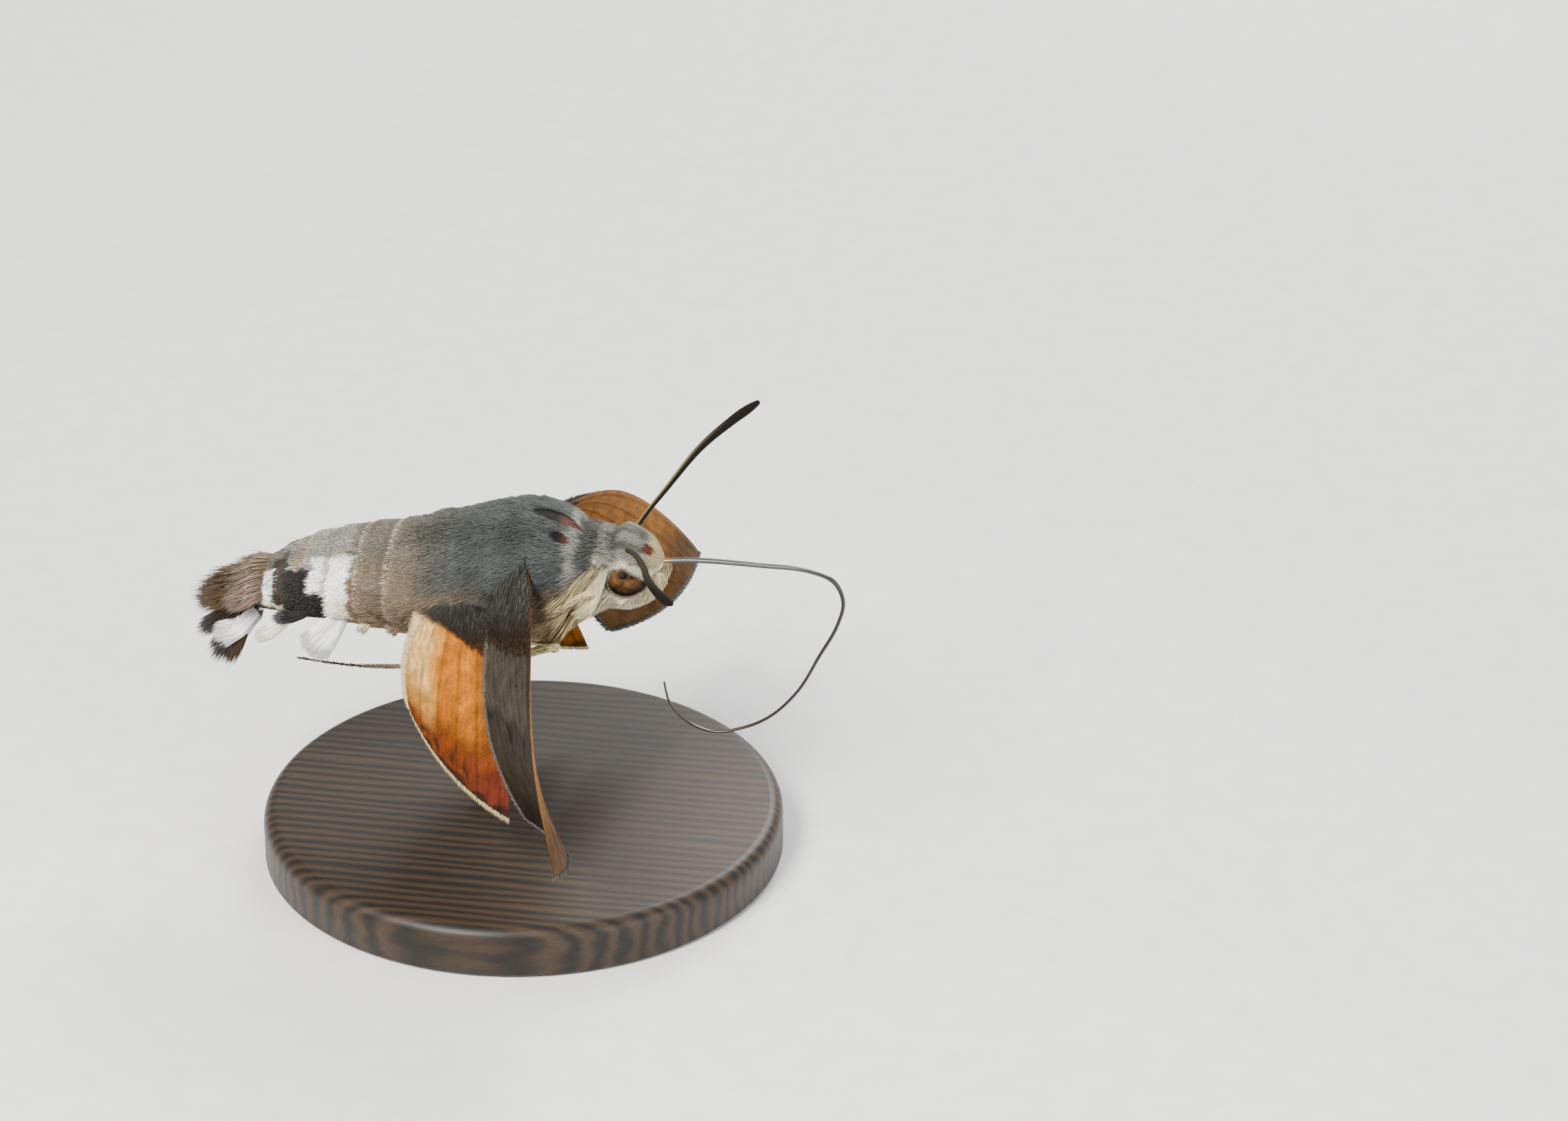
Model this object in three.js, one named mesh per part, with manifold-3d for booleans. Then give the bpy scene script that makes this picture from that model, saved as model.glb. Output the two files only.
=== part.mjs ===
// A life-size hummingbird hawk moth, hovering at the end of a downstroke, on a small display stand.
// Millimetres. +X is the way the head points, +Y is the moth's left, +Z is up.
// The origin is the centre of the stand's underside.

import * as THREE from "three";
import { mergeVertices } from "three/addons/utils/BufferGeometryUtils.js";
import Module from "manifold-3d";

const wasm = await Module();
wasm.setup();

const LEFT = 1;
const RIGHT = -1;
const SIDES = { left: LEFT, right: RIGHT };

// Clear space between neighbours, and what cutters with flat or steep sides need to leave that much.
const GAP = 0.3;
const CLEARANCE = 0.34;
const FACE_CLEARANCE = 0.45;
const HOVER_HEIGHT = 18;
const THORAX_CENTRE = new THREE.Vector3(0, 0, HOVER_HEIGHT);

const COLOURS = {
  fur: 0x77726c,
  cheek: 0xc9bda2,
  eye: 0x6b4520,
  tip: 0x2c2319,
  horn: 0x4b443a,
  forewing: 0x554c45,
  hindwing: 0xcf7317,
  tail: 0x3a2c22,
  leg: 0x7d6a52,
  wood: 0x3b2c22,
  steel: 0xb9bcc0,
};

const finish = (color, roughness = 0.85, metalness = 0) =>
  new THREE.MeshStandardMaterial({ color, roughness, metalness });

// Solids: closing, joining and cutting

/** A manifold-3d solid from a closed three.js geometry, turned to face outwards. */
function solidFrom(geometry) {
  const bare = geometry.clone();
  bare.deleteAttribute("normal");
  bare.deleteAttribute("uv");
  const merged = mergeVertices(bare, 1e-4);
  const triVerts = new Uint32Array(merged.index.array);
  const vertProperties = merged.attributes.position.array;
  const made = new wasm.Manifold(
    new wasm.Mesh({ numProp: 3, vertProperties, triVerts }),
  );
  if (made.volume() > 0) return made;
  for (let i = 0; i < triVerts.length; i += 3)
    [triVerts[i + 1], triVerts[i + 2]] = [triVerts[i + 2], triVerts[i + 1]];
  return new wasm.Manifold(
    new wasm.Mesh({ numProp: 3, vertProperties, triVerts }),
  );
}

/** The largest closed body of a solid, without the scraps that a cut leaves. */
function largestOf(solid) {
  const bodies = solid.decompose();
  return bodies.reduce((a, b) => (b.volume() > a.volume() ? b : a));
}

const fuse = (solids) => largestOf(wasm.Manifold.union(solids));

const cutBy = (solid, tools) =>
  largestOf(tools.reduce((rest, tool) => rest.subtract(tool), solid));

/** A named mesh from a solid. */
function meshOf(name, solid, material) {
  const data = solid.getMesh();
  const geometry = new THREE.BufferGeometry();
  const position = new THREE.BufferAttribute(data.vertProperties, 3);
  geometry.setAttribute("position", position);
  geometry.setIndex(new THREE.BufferAttribute(data.triVerts, 1));
  const mesh = new THREE.Mesh(geometry, material);
  mesh.name = name;
  return mesh;
}

/** Moves each vertex of a geometry to the point that `place` gives for it. */
function warped(geometry, place) {
  const position = geometry.attributes.position;
  const vertex = new THREE.Vector3();
  for (let i = 0; i < position.count; i += 1) {
    const moved = place(vertex.fromBufferAttribute(position, i));
    position.setXYZ(i, moved.x, moved.y, moved.z);
  }
  return geometry;
}

/** A closed column of rings: `ring(share, radius, angle)` gives each point, share 0 to 1 along it. */
function column(sides, steps, ring) {
  const start = new THREE.CylinderGeometry(1, 1, 1, sides, steps);
  return solidFrom(
    warped(start, (v) =>
      ring(v.y + 0.5, Math.hypot(v.x, v.z), Math.atan2(v.z, v.x)),
    ),
  );
}

/** A limb: a tube along a curve, whose half width and half depth follow the share of its length. */
function limb(curve, halfWidth, halfDepth, sides, steps) {
  const frames = curve.computeFrenetFrames(steps, false);
  return column(sides, steps, (share, radius, angle) => {
    const i = Math.round(share * steps);
    return curve
      .getPointAt(share)
      .addScaledVector(
        frames.binormals[i],
        radius * halfWidth(share) * Math.cos(angle),
      )
      .addScaledVector(
        frames.normals[i],
        radius * halfDepth(share) * Math.sin(angle),
      );
  });
}

/** A smooth value row between stations, each [place, ...values], at a place. */
function between(stations, place) {
  const count = stations.length;
  let i = 0;
  while (i < count - 2 && place > stations[i + 1][0]) i += 1;
  const [before, start, end, after] = [-1, 0, 1, 2].map(
    (k) => stations[THREE.MathUtils.clamp(i + k, 0, count - 1)],
  );
  const span = end[0] - start[0];
  const t = (place - start[0]) / span;
  const leave = end[0] - before[0];
  const arrive = after[0] - start[0];
  return start.map((value, k) => {
    const slopeIn = (span * (end[k] - before[k])) / leave;
    const slopeOut = (span * (after[k] - value)) / arrive;
    return (
      value * (2 * t ** 3 - 3 * t ** 2 + 1) +
      slopeIn * (t ** 3 - 2 * t ** 2 + t) +
      end[k] * (3 * t ** 2 - 2 * t ** 3) +
      slopeOut * (t ** 3 - t ** 2)
    );
  });
}

/** A curve through points given relative to the thorax centre. */
const routeFromThorax = (points) =>
  new THREE.CatmullRomCurve3(
    points.map(([x, y, z]) => new THREE.Vector3(x, y, z).add(THORAX_CENTRE)),
    false,
    "centripetal",
  );

// Body: stations of [along, rise of the axis, half width, half height] from the thorax centre

const TRUNK = [
  [-16.6, -2.9, 0.55, 0.45],
  [-15.4, -2.5, 1.35, 1.05],
  [-13.9, -1.95, 2.3, 1.7],
  [-11.9, -1.45, 3.05, 2.25],
  [-9.9, -1.2, 3.45, 2.6],
  [-7.9, -1.08, 3.65, 2.95],
  [-5.9, -0.95, 3.75, 3.25],
  [-3.4, -0.5, 3.85, 3.6],
  [-1.2, -0.05, 3.95, 3.95],
  [0.6, 0.16, 4.0, 4.12],
  [2.2, 0.25, 3.8, 3.9],
  [3.4, 0.32, 3.35, 3.35],
  [4.4, 0.42, 2.7, 2.65],
];
const HEAD = [
  [4.7, 0.62, 1.75, 1.9],
  [5.3, 0.74, 2.2, 2.35],
  [6.2, 0.88, 2.35, 2.38],
  [7.1, 1.04, 2.1, 1.84],
  [7.8, 1.15, 1.6, 1.25],
  [8.25, 1.2, 0.85, 0.68],
];
const SEGMENT_ENDS = [-4.9, -6.7, -8.5, -10.3, -12.0, -13.6, -15.0];
const SEGMENT_FLARE = 0.14;
const TRUNK_SIDES = 24;

/** A point on or inside the body: radius 1 is its surface, grown outwards by `swell`. */
function bodyPoint(stations, along, radius, angle, swell = 0, flare = 0) {
  const [, rise, halfWidth, halfHeight] = between(stations, along);
  return new THREE.Vector3(
    along,
    radius * (halfWidth + swell + flare) * Math.cos(angle),
    rise + radius * (halfHeight + swell + flare) * Math.sin(angle),
  ).add(THORAX_CENTRE);
}

/** A stretch of body with a ring at each given place along it. */
function bodyStretch(stations, places, swell = 0, flareAt = () => 0) {
  const steps = places.length - 1;
  return column(TRUNK_SIDES, steps, (share, radius, angle) => {
    const i = Math.round(share * steps);
    return bodyPoint(
      stations,
      places[i],
      radius,
      angle,
      swell,
      flareAt(places[i]),
    );
  });
}

const evenly = (from, to, steps) =>
  Array.from({ length: steps + 1 }, (_, i) => from + ((to - from) * i) / steps);

const TRUNK_FRONT = TRUNK[TRUNK.length - 1][0];
const WAIST = -3.5;
const MID_ABDOMEN = SEGMENT_ENDS[2];
const TAIL_CUT = SEGMENT_ENDS[6];
const [HEAD_BACK, HEAD_FRONT] = [HEAD[0][0], HEAD[HEAD.length - 1][0]];

/** The rings of an abdomen stretch: each segment swells to its rear edge and then steps in. */
function segmentPlaces(from, to) {
  const edges = SEGMENT_ENDS.filter(
    (x) => x > from + GAP && x < to - GAP,
  ).flatMap((x) => [x - 0.12, x, x + 0.45]);
  return [from, ...edges, to].sort((a, b) => a - b);
}

const segmentFlare = (along) =>
  SEGMENT_ENDS.some((x) => Math.abs(along - x) < 1e-6) ? SEGMENT_FLARE : 0;

const thorax = bodyStretch(TRUNK, evenly(WAIST, TRUNK_FRONT, 12));
const headBare = bodyStretch(HEAD, evenly(HEAD_BACK, HEAD_FRONT, 9));
const abdomenFront = bodyStretch(
  TRUNK,
  segmentPlaces(MID_ABDOMEN + GAP / 2, WAIST - GAP),
  0,
  segmentFlare,
);
const abdomenRearBare = bodyStretch(
  TRUNK,
  segmentPlaces(TAIL_CUT + GAP, MID_ABDOMEN - GAP / 2),
  0,
  segmentFlare,
);

// The body and the head grown by the gap, to cut what stands against them
const trunkClearance = bodyStretch(
  TRUNK,
  evenly(TRUNK[0][0], TRUNK_FRONT + GAP, 24),
  CLEARANCE,
  (along) => (along < WAIST ? SEGMENT_FLARE : 0),
);
const headClearance = bodyStretch(
  HEAD,
  evenly(HEAD_BACK - GAP, HEAD_FRONT + GAP, 11),
  FACE_CLEARANCE,
);

// Eyes: balls sunk in sockets

const EYE = { along: 6.6, aside: 1.62, rise: 0.66, radius: 1.08 };

function eyeBall(side, radius) {
  const ball = new THREE.SphereGeometry(radius, 18, 12);
  ball.translate(EYE.along, side * EYE.aside, EYE.rise + HOVER_HEIGHT);
  return solidFrom(ball);
}

// Feelers: thin at the root, thickest near the end, with a small hooked point

const FEELER_ROOT = { along: 6.35, aside: 0.85, rise: 2.0 };
const FEELER = { rootRadius: 0.22, clubRadius: 0.34, clubAt: 0.88, tip: 0.16 };
// Offsets of each feeler's bends from its root: [forward, outward, up]
const FEELER_BENDS = {
  right: [
    [0.45, 0.75, 1.0],
    [1.3, 2.3, 1.6],
    [2.6, 5.2, 1.75],
    [3.7, 7.4, 1.55],
    [4.9, 8.9, 1.8],
  ],
  left: [
    [0.6, 0.6, 1.0],
    [1.7, 1.9, 2.3],
    [3.3, 3.8, 4.1],
    [4.9, 5.5, 5.2],
    [6.2, 6.7, 5.9],
  ],
};

function feelerRadius(share) {
  if (share < FEELER.clubAt)
    return THREE.MathUtils.lerp(
      FEELER.rootRadius,
      FEELER.clubRadius,
      (share / FEELER.clubAt) ** 1.3,
    );
  const past = (share - FEELER.clubAt) / (1 - FEELER.clubAt);
  return THREE.MathUtils.lerp(FEELER.clubRadius, FEELER.tip, past ** 2.2);
}

function feeler(name) {
  const side = SIDES[name];
  const { along, aside, rise } = FEELER_ROOT;
  const points = [[0, 0, 0], ...FEELER_BENDS[name]].map(
    ([forward, outward, up]) => [
      along + forward,
      side * (aside + outward),
      rise + up,
    ],
  );
  const whole = limb(
    routeFromThorax(points),
    feelerRadius,
    feelerRadius,
    8,
    16,
  );
  return cutBy(whole, [headClearance]);
}

// Tongue: a stiff first stretch, the knee, and a curl towards the tip, all in the middle plane

const TONGUE_ROUTE = [
  [7.9, 0, 1.12],
  [10.3, 0, 1.36],
  [13.9, 0, 1.36],
  [16.7, 0, 1.25],
  [18.1, 0, 0.7],
  [18.65, 0, -0.5],
  [18.3, 0, -2.1],
  [17.3, 0, -4.1],
  [16.1, 0, -6.4],
  [14.5, 0, -8.2],
  [12.9, 0, -9.1],
  [11.1, 0, -9.5],
  [9.7, 0, -9.0],
  [8.7, 0, -7.9],
  [8.35, 0, -6.5],
];
const TONGUE_RADIUS = { root: 0.24, tip: 0.15 };
const TONGUE_CUTS = [0, 0.29, 0.45, 0.72, 0.88, 1];
const TONGUE_NAMES = [
  "tongue_root",
  "tongue_knee",
  "tongue_mid",
  "tongue_curl",
  "tongue_tip",
];

/** One stretch of the tongue, a little over half a gap short of each cut. */
function tongueStretch(index) {
  const curve = routeFromThorax(TONGUE_ROUTE);
  const length = curve.getLength();
  const isLast = index === TONGUE_NAMES.length - 1;
  const halfGap = (0.6 * GAP) / length;
  const from = TONGUE_CUTS[index] + (index ? halfGap : 0);
  const to = TONGUE_CUTS[index + 1] - (isLast ? 0 : halfGap);
  const radius = (share) =>
    THREE.MathUtils.lerp(
      TONGUE_RADIUS.root,
      TONGUE_RADIUS.tip,
      THREE.MathUtils.lerp(from, to, share) ** 1.6,
    );
  const steps = Math.max(4, Math.round((to - from) * 44));
  const stretch = new THREE.CatmullRomCurve3(
    evenly(from, to, steps).map((share) => curve.getPointAt(share)),
  );
  const made = limb(stretch, radius, radius, 8, steps);
  return index ? made : cutBy(made, [headClearance]);
}

// Palps: a pair that wraps the face from below and meets in front under the tongue

const PALP_ROUTE = [
  [5.6, 1.0, -1.5],
  [6.7, 0.95, -1.25],
  [7.6, 0.85, -0.75],
  [8.3, 0.76, -0.05],
  [8.6, 0.7, 0.7],
];
const PALP_HALF_WIDTH = 0.58;
const PALP_HALF_DEPTH = 0.66;

function palp(side) {
  const swelling = (share) =>
    0.42 + 0.58 * Math.sin(Math.PI * (0.12 + 0.72 * share)) ** 0.8;
  const made = limb(
    routeFromThorax(PALP_ROUTE.map(([x, y, z]) => [x, side * y, z])),
    (share) => PALP_HALF_WIDTH * swelling(share),
    (share) => PALP_HALF_DEPTH * swelling(share),
    12,
    8,
  );
  const otherHalf = new THREE.BoxGeometry(20, 10, 20);
  otherHalf.translate(7, -side * (5 - GAP / 2), HOVER_HEIGHT);
  const tongueRoom = () => TONGUE_RADIUS.root + CLEARANCE;
  return cutBy(made, [
    headClearance,
    eyeBall(side, EYE.radius + CLEARANCE),
    solidFrom(otherHalf),
    limb(routeFromThorax(TONGUE_ROUTE.slice(0, 3)), tongueRoom, tongueRoom, 8, 4),
  ]);
}

// Legs: [along, aside, rise] of each joint from the thorax centre, and the half thickness there

const LEGS = {
  fore: {
    joints: [
      [3.7, 1.6, -1.9],
      [4.6, 2.6, -1.1],
      [5.05, 3.0, 0.3],
      [4.5, 3.45, 0.35],
      [3.2, 4.0, -0.5],
      [1.7, 4.3, -1.4],
    ],
    halfThickness: [0.42, 0.4, 0.36, 0.36, 0.3, 0.25],
  },
  mid: {
    joints: [
      [1.7, 1.4, -3.0],
      [2.6, 2.9, -3.4],
      [2.9, 3.6, -2.9],
      [2.2, 3.9, -3.0],
      [0.2, 3.5, -3.9],
      [-2.0, 3.2, -4.5],
    ],
    halfThickness: [0.45, 0.42, 0.38, 0.36, 0.3, 0.25],
  },
  hind: {
    joints: [
      [-0.9, 1.3, -3.2],
      [-1.6, 1.5, -4.7],
      [-3.2, 1.7, -5.6],
      [-6.0, 1.7, -6.0],
      [-9.6, 1.5, -6.35],
      [-12.8, 1.5, -6.15],
    ],
    halfThickness: [0.48, 0.46, 0.4, 0.34, 0.27, 0.25],
  },
};
// The left hind leg is held closer under the belly than the right one
const LEFT_HIND_TUCK = 0.9;

function leg(which, side) {
  const { joints, halfThickness } = LEGS[which];
  const last = joints.length - 1;
  const tuck = which === "hind" && side === LEFT ? LEFT_HIND_TUCK : 0;
  const curve = routeFromThorax(
    joints.map(([x, y, z], i) => [
      x,
      side * (y + (tuck * i) / last),
      z + tuck * Math.min(1, i / 2),
    ]),
  );
  const thickness = (share) =>
    between(
      halfThickness.map((value, i) => [i / last, value]),
      share,
    )[1];
  return cutBy(limb(curve, thickness, thickness, 8, 16), [
    trunkClearance,
    headClearance,
  ]);
}

// Wings: outlines in the wing's own plane, [out along the wing, towards the leading edge]. The
// two sides are held a little differently, as the moth steers

const MEMBRANE = 0.5;
const VEIN_RAISE = 0.15;
const WINGS = {
  forewing: {
    root: { along: 0.4, aside: 2.7, rise: 1.53 },
    length: 20,
    rootFront: [0, 0.9],
    rootBack: [0, -0.93],
    costaPull: [9.2, 1.4],
    apex: [20, -1.6],
    marginPull: [17.4, -5.4],
    tornus: [12.1, -7.8],
    innerPull: [4.8, -2.3],
    veins: [0.05, 0.2, 0.36, 0.52, 0.68, 0.84],
    left: { sweep: 20, droopRoot: 6.5, droopTip: 42, twistRoot: 42, twistTip: 115 },
    right: { sweep: 17, droopRoot: 25, droopTip: 29, twistRoot: 41, twistTip: 115 },
  },
  hindwing: {
    root: { along: -1.5, aside: 2.7, rise: 0.5 },
    length: 13.6,
    rootFront: [0, 0.2],
    rootBack: [0, -1.6],
    costaPull: [7, 0.6],
    apex: [13.6, -0.6],
    marginPull: [11.0, -4.4],
    tornus: [6.6, -5.4],
    innerPull: [2.6, -5.6],
    veins: [0.06, 0.25, 0.44, 0.63, 0.82],
    left: { sweep: 26, droopRoot: 49, droopTip: 53, twistRoot: 24, twistTip: 42 },
    right: { sweep: 27, droopRoot: 56, droopTip: 59, twistRoot: 24, twistTip: 40 },
  },
};
const WING_SPAN_STEPS = 10;
const VEIN_HALF_SHARE = 0.022;

const flat = ([out, forward]) => new THREE.Vector2(out, forward);

/** A point of the wing's outline patch: u from root to margin, v from leading to inner edge. */
function outlinePoint(wing, u, v) {
  const root = flat(wing.rootFront).lerp(flat(wing.rootBack), v);
  const costa = new THREE.QuadraticBezierCurve(
    flat(wing.rootFront),
    flat(wing.costaPull),
    flat(wing.apex),
  ).getPoint(u);
  const inner = new THREE.QuadraticBezierCurve(
    flat(wing.rootBack),
    flat(wing.innerPull),
    flat(wing.tornus),
  ).getPoint(u);
  const margin = new THREE.QuadraticBezierCurve(
    flat(wing.apex),
    flat(wing.marginPull),
    flat(wing.tornus),
  ).getPoint(v);
  const corners = flat(wing.rootFront)
    .multiplyScalar((1 - u) * (1 - v))
    .addScaledVector(flat(wing.apex), u * (1 - v))
    .addScaledVector(flat(wing.rootBack), (1 - u) * v)
    .addScaledVector(flat(wing.tornus), u * v);
  return costa
    .multiplyScalar(1 - v)
    .addScaledVector(inner, v)
    .addScaledVector(root, 1 - u)
    .addScaledVector(margin, u)
    .sub(corners);
}

/** Where a flat wing point lies in space, lifted off the membrane's middle by `lift`. */
function wingPoint(wing, side, out, forward, lift) {
  const rad = THREE.MathUtils.degToRad;
  const pose = side === LEFT ? wing.left : wing.right;
  const sweep = rad(pose.sweep);
  const bend = rad(pose.droopTip - pose.droopRoot) / wing.length;
  const start = rad(pose.droopRoot);
  const droop = start + bend * out;
  const reach = (Math.sin(droop) - Math.sin(start)) / bend;
  const drop = (Math.cos(start) - Math.cos(droop)) / bend;
  const outward = new THREE.Vector3(
    Math.sin(sweep),
    side * Math.cos(sweep),
    0,
  );
  const ahead = new THREE.Vector3(Math.cos(sweep), -side * Math.sin(sweep), 0);
  const up = outward
    .clone()
    .multiplyScalar(Math.sin(droop))
    .setZ(Math.cos(droop));
  const share = THREE.MathUtils.smoothstep(out, 0, wing.length);
  const twist = rad(
    THREE.MathUtils.lerp(pose.twistRoot, pose.twistTip, share),
  );
  const chord = ahead
    .clone()
    .multiplyScalar(Math.cos(twist))
    .addScaledVector(up, Math.sin(twist));
  const face = up
    .clone()
    .multiplyScalar(Math.cos(twist))
    .addScaledVector(ahead, -Math.sin(twist));
  return new THREE.Vector3(
    wing.root.along,
    side * wing.root.aside,
    wing.root.rise,
  )
    .add(THORAX_CENTRE)
    .addScaledVector(outward, reach)
    .add(new THREE.Vector3(0, 0, -drop))
    .addScaledVector(chord, forward)
    .addScaledVector(face, lift);
}

/** A wing: one thin sheet whose main veins stand up as ridges on both faces. */
function wingSolid(name, side) {
  const wing = WINGS[name];
  const ribs = wing.veins.flatMap((v) => [
    { v: v - VEIN_HALF_SHARE, raise: 0 },
    { v, raise: VEIN_RAISE },
    { v: v + VEIN_HALF_SHARE, raise: 0 },
  ]);
  const lines = [{ v: 0, raise: 0 }, ...ribs, { v: 1, raise: 0 }];
  const columns = lines.length;
  const position = [];
  const index = [];
  for (const face of [1, -1])
    for (let i = 0; i <= WING_SPAN_STEPS; i += 1)
      for (const { v, raise } of lines) {
        const u = i / WING_SPAN_STEPS;
        const { x, y } = outlinePoint(wing, u, v);
        const lift = face * (MEMBRANE / 2 + raise);
        const p = wingPoint(wing, side, x, y, lift);
        position.push(p.x, p.y, p.z);
      }
  const back = position.length / 6;
  for (let i = 0; i < WING_SPAN_STEPS; i += 1)
    for (let j = 0; j < columns - 1; j += 1) {
      const a = i * columns + j;
      const [b, c, d] = [a + 1, a + columns, a + columns + 1];
      index.push(a, c, b, b, c, d);
      index.push(a + back, b + back, c + back, b + back, d + back, c + back);
    }
  const rim = [];
  for (let j = 0; j < columns; j += 1) rim.push(j);
  for (let i = 1; i <= WING_SPAN_STEPS; i += 1) rim.push((i + 1) * columns - 1);
  for (let j = columns - 2; j >= 0; j -= 1)
    rim.push(WING_SPAN_STEPS * columns + j);
  for (let i = WING_SPAN_STEPS - 1; i > 0; i -= 1) rim.push(i * columns);
  rim.forEach((a, k) => {
    const b = rim[(k + 1) % rim.length];
    index.push(a, b, a + back, b, b + back, a + back);
  });
  const sheet = new THREE.BufferGeometry();
  sheet.setAttribute(
    "position",
    new THREE.Float32BufferAttribute(position, 3),
  );
  sheet.setIndex(index);
  return solidFrom(sheet);
}

const wingOf = (name, side) => cutBy(wingSolid(name, side), [trunkClearance]);

// Locks: flat tapered blades of scales

/** A lock from `root` towards `aim`, which bends by `sag` downwards on the way. */
function lock(root, aim, width, thickness, sag) {
  const start = new THREE.Vector3(...root).add(THORAX_CENTRE);
  const end = new THREE.Vector3(...aim).add(THORAX_CENTRE);
  const middle = start.clone().lerp(end, 0.5);
  middle.z += sag;
  const curve = new THREE.QuadraticBezierCurve3(start, middle, end);
  const taper = (share) => 1 - 0.82 * share ** 2.2;
  const across = new THREE.Vector3()
    .subVectors(end, start)
    .cross(new THREE.Vector3(0, 0, 1))
    .normalize();
  return column(5, 3, (share, radius, angle) => {
    const along = curve.getTangent(share);
    const up = new THREE.Vector3().crossVectors(across, along).normalize();
    const size = radius * taper(share);
    return curve
      .getPoint(share)
      .addScaledVector(across, (size * width * Math.cos(angle)) / 2)
      .addScaledVector(up, (size * thickness * Math.sin(angle)) / 2);
  });
}

// Tufts: where each grows, where its middle lock points, and how its other locks fan out

const ABDOMEN_TUFTS = [
  { root: [-10.6, 2.5, -2.4], aim: [-10.9, 3.6, -5.2], fan: 1.5, count: 5 },
  { root: [-12.7, 2.0, -2.6], aim: [-14.3, 2.6, -4.4], fan: 0.9, count: 3 },
];
const TAIL_TUFTS = [
  { root: [-15.7, 0.8, -2.7], aim: [-16.8, 3.2, -5.6], fan: 1.1, count: 4 },
];
const LOCK = { width: 1.0, thickness: 0.5 };

function tuftLocks({ root, aim, fan, count }, side) {
  return evenly(-1, 1, count - 1).map((place) =>
    lock(
      [root[0] + 0.2 * fan * place, side * root[1], root[2]],
      [
        aim[0] + 0.6 * fan * place,
        side * aim[1],
        aim[2] + 0.5 * fan * place ** 2,
      ],
      LOCK.width,
      LOCK.thickness,
      -0.1,
    ),
  );
}

const tuftsOnBothSides = (tufts) =>
  [LEFT, RIGHT].flatMap((side) => tufts.flatMap((t) => tuftLocks(t, side)));

// Tail fan: a stub of the body with two tiers of locks and a drooping tuft on each side

const TAIL_BACK = TRUNK[0][0];
const TAIL_TIERS = [
  { count: 8, spread: 38, reach: 4.0, rise: 0.35, droop: -0.5, width: 1.5 },
  { count: 9, spread: 34, reach: 3.9, rise: -0.3, droop: -0.75, width: 1.3 },
];
const TAIL_ROOT = { along: -15.6, rise: -2.4 };
const SHORTER_ASIDE = 0.12;

function tierLocks({ count, spread, reach, rise, droop, width }) {
  return evenly(-1, 1, count - 1).map((place, i) => {
    const angle = THREE.MathUtils.degToRad(place * spread);
    const length = reach * (1 - SHORTER_ASIDE * place ** 2) - 0.3 * (i % 2);
    const level = TAIL_ROOT.rise + rise;
    return lock(
      [TAIL_ROOT.along, 1.1 * Math.sin(angle), level],
      [
        TAIL_ROOT.along + 0.3 - length * Math.cos(angle),
        (1 + length) * Math.sin(angle),
        level + droop,
      ],
      width,
      LOCK.thickness,
      0.2,
    );
  });
}

function tailFan() {
  const stub = bodyStretch(TRUNK, evenly(TAIL_BACK, TAIL_CUT, 5));
  const locks = TAIL_TIERS.flatMap(tierLocks);
  const ahead = bodyStretch(TRUNK, evenly(TAIL_CUT, TAIL_CUT + 3, 3), 2);
  return cutBy(fuse([stub, ...locks, ...tuftsOnBothSides(TAIL_TUFTS)]), [
    ahead,
  ]);
}

function abdomenRear() {
  const locks = tuftsOnBothSides(ABDOMEN_TUFTS);
  const behind = bodyStretch(
    TRUNK,
    evenly(TAIL_BACK, TAIL_CUT + GAP, 5),
    3,
  );
  return cutBy(fuse([abdomenRearBare, ...locks]), [behind]);
}

// Stand: a round base and one rod up to the underside of the thorax

const BASE = { radius: 15, height: 3, edge: 0.8 };
const ROD = { along: -2.0, radius: 0.8 };

function standBase() {
  const profile = [
    [0, 0],
    [BASE.radius, 0],
    [BASE.radius, BASE.height - BASE.edge],
    [BASE.radius - BASE.edge, BASE.height],
    [0, BASE.height],
  ].map(flat);
  const turned = new THREE.LatheGeometry(profile, 40);
  turned.rotateX(Math.PI / 2);
  return solidFrom(turned);
}

function standRod() {
  const foot = BASE.height + GAP;
  const rod = new THREE.CylinderGeometry(
    ROD.radius,
    ROD.radius,
    HOVER_HEIGHT - foot,
    16,
  );
  rod.rotateX(Math.PI / 2);
  rod.translate(ROD.along, 0, (HOVER_HEIGHT + foot) / 2);
  return cutBy(solidFrom(rod), [trunkClearance]);
}

// The assembled moth

const moth = new THREE.Group();
const add = (name, solid, material) =>
  moth.add(meshOf(name, solid, material));

const eyeSockets = [LEFT, RIGHT].map((side) =>
  eyeBall(side, EYE.radius + GAP),
);
add("thorax", thorax, finish(COLOURS.fur));
add("head", cutBy(headBare, eyeSockets), finish(COLOURS.fur));
add("abdomen_front", abdomenFront, finish(COLOURS.fur));
add("abdomen_rear", abdomenRear(), finish(COLOURS.cheek));
add("tail_fan", tailFan(), finish(COLOURS.tail));
TONGUE_NAMES.forEach((name, i) =>
  add(name, tongueStretch(i), finish(COLOURS.horn, 0.35)),
);
for (const [name, side] of Object.entries(SIDES)) {
  add("eye_" + name, eyeBall(side, EYE.radius), finish(COLOURS.eye, 0.25));
  add("palp_" + name, palp(side), finish(COLOURS.cheek));
  add("antenna_" + name, feeler(name), finish(COLOURS.tip, 0.7));
  for (const which of Object.keys(LEGS))
    add("leg_" + which + "_" + name, leg(which, side), finish(COLOURS.leg));
  for (const which of Object.keys(WINGS))
    add(which + "_" + name, wingOf(which, side), finish(COLOURS[which], 0.8));
}
add("stand_base", standBase(), finish(COLOURS.wood, 0.5));
add("stand_rod", standRod(), finish(COLOURS.steel, 0.3, 1));

export default moth;
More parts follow.
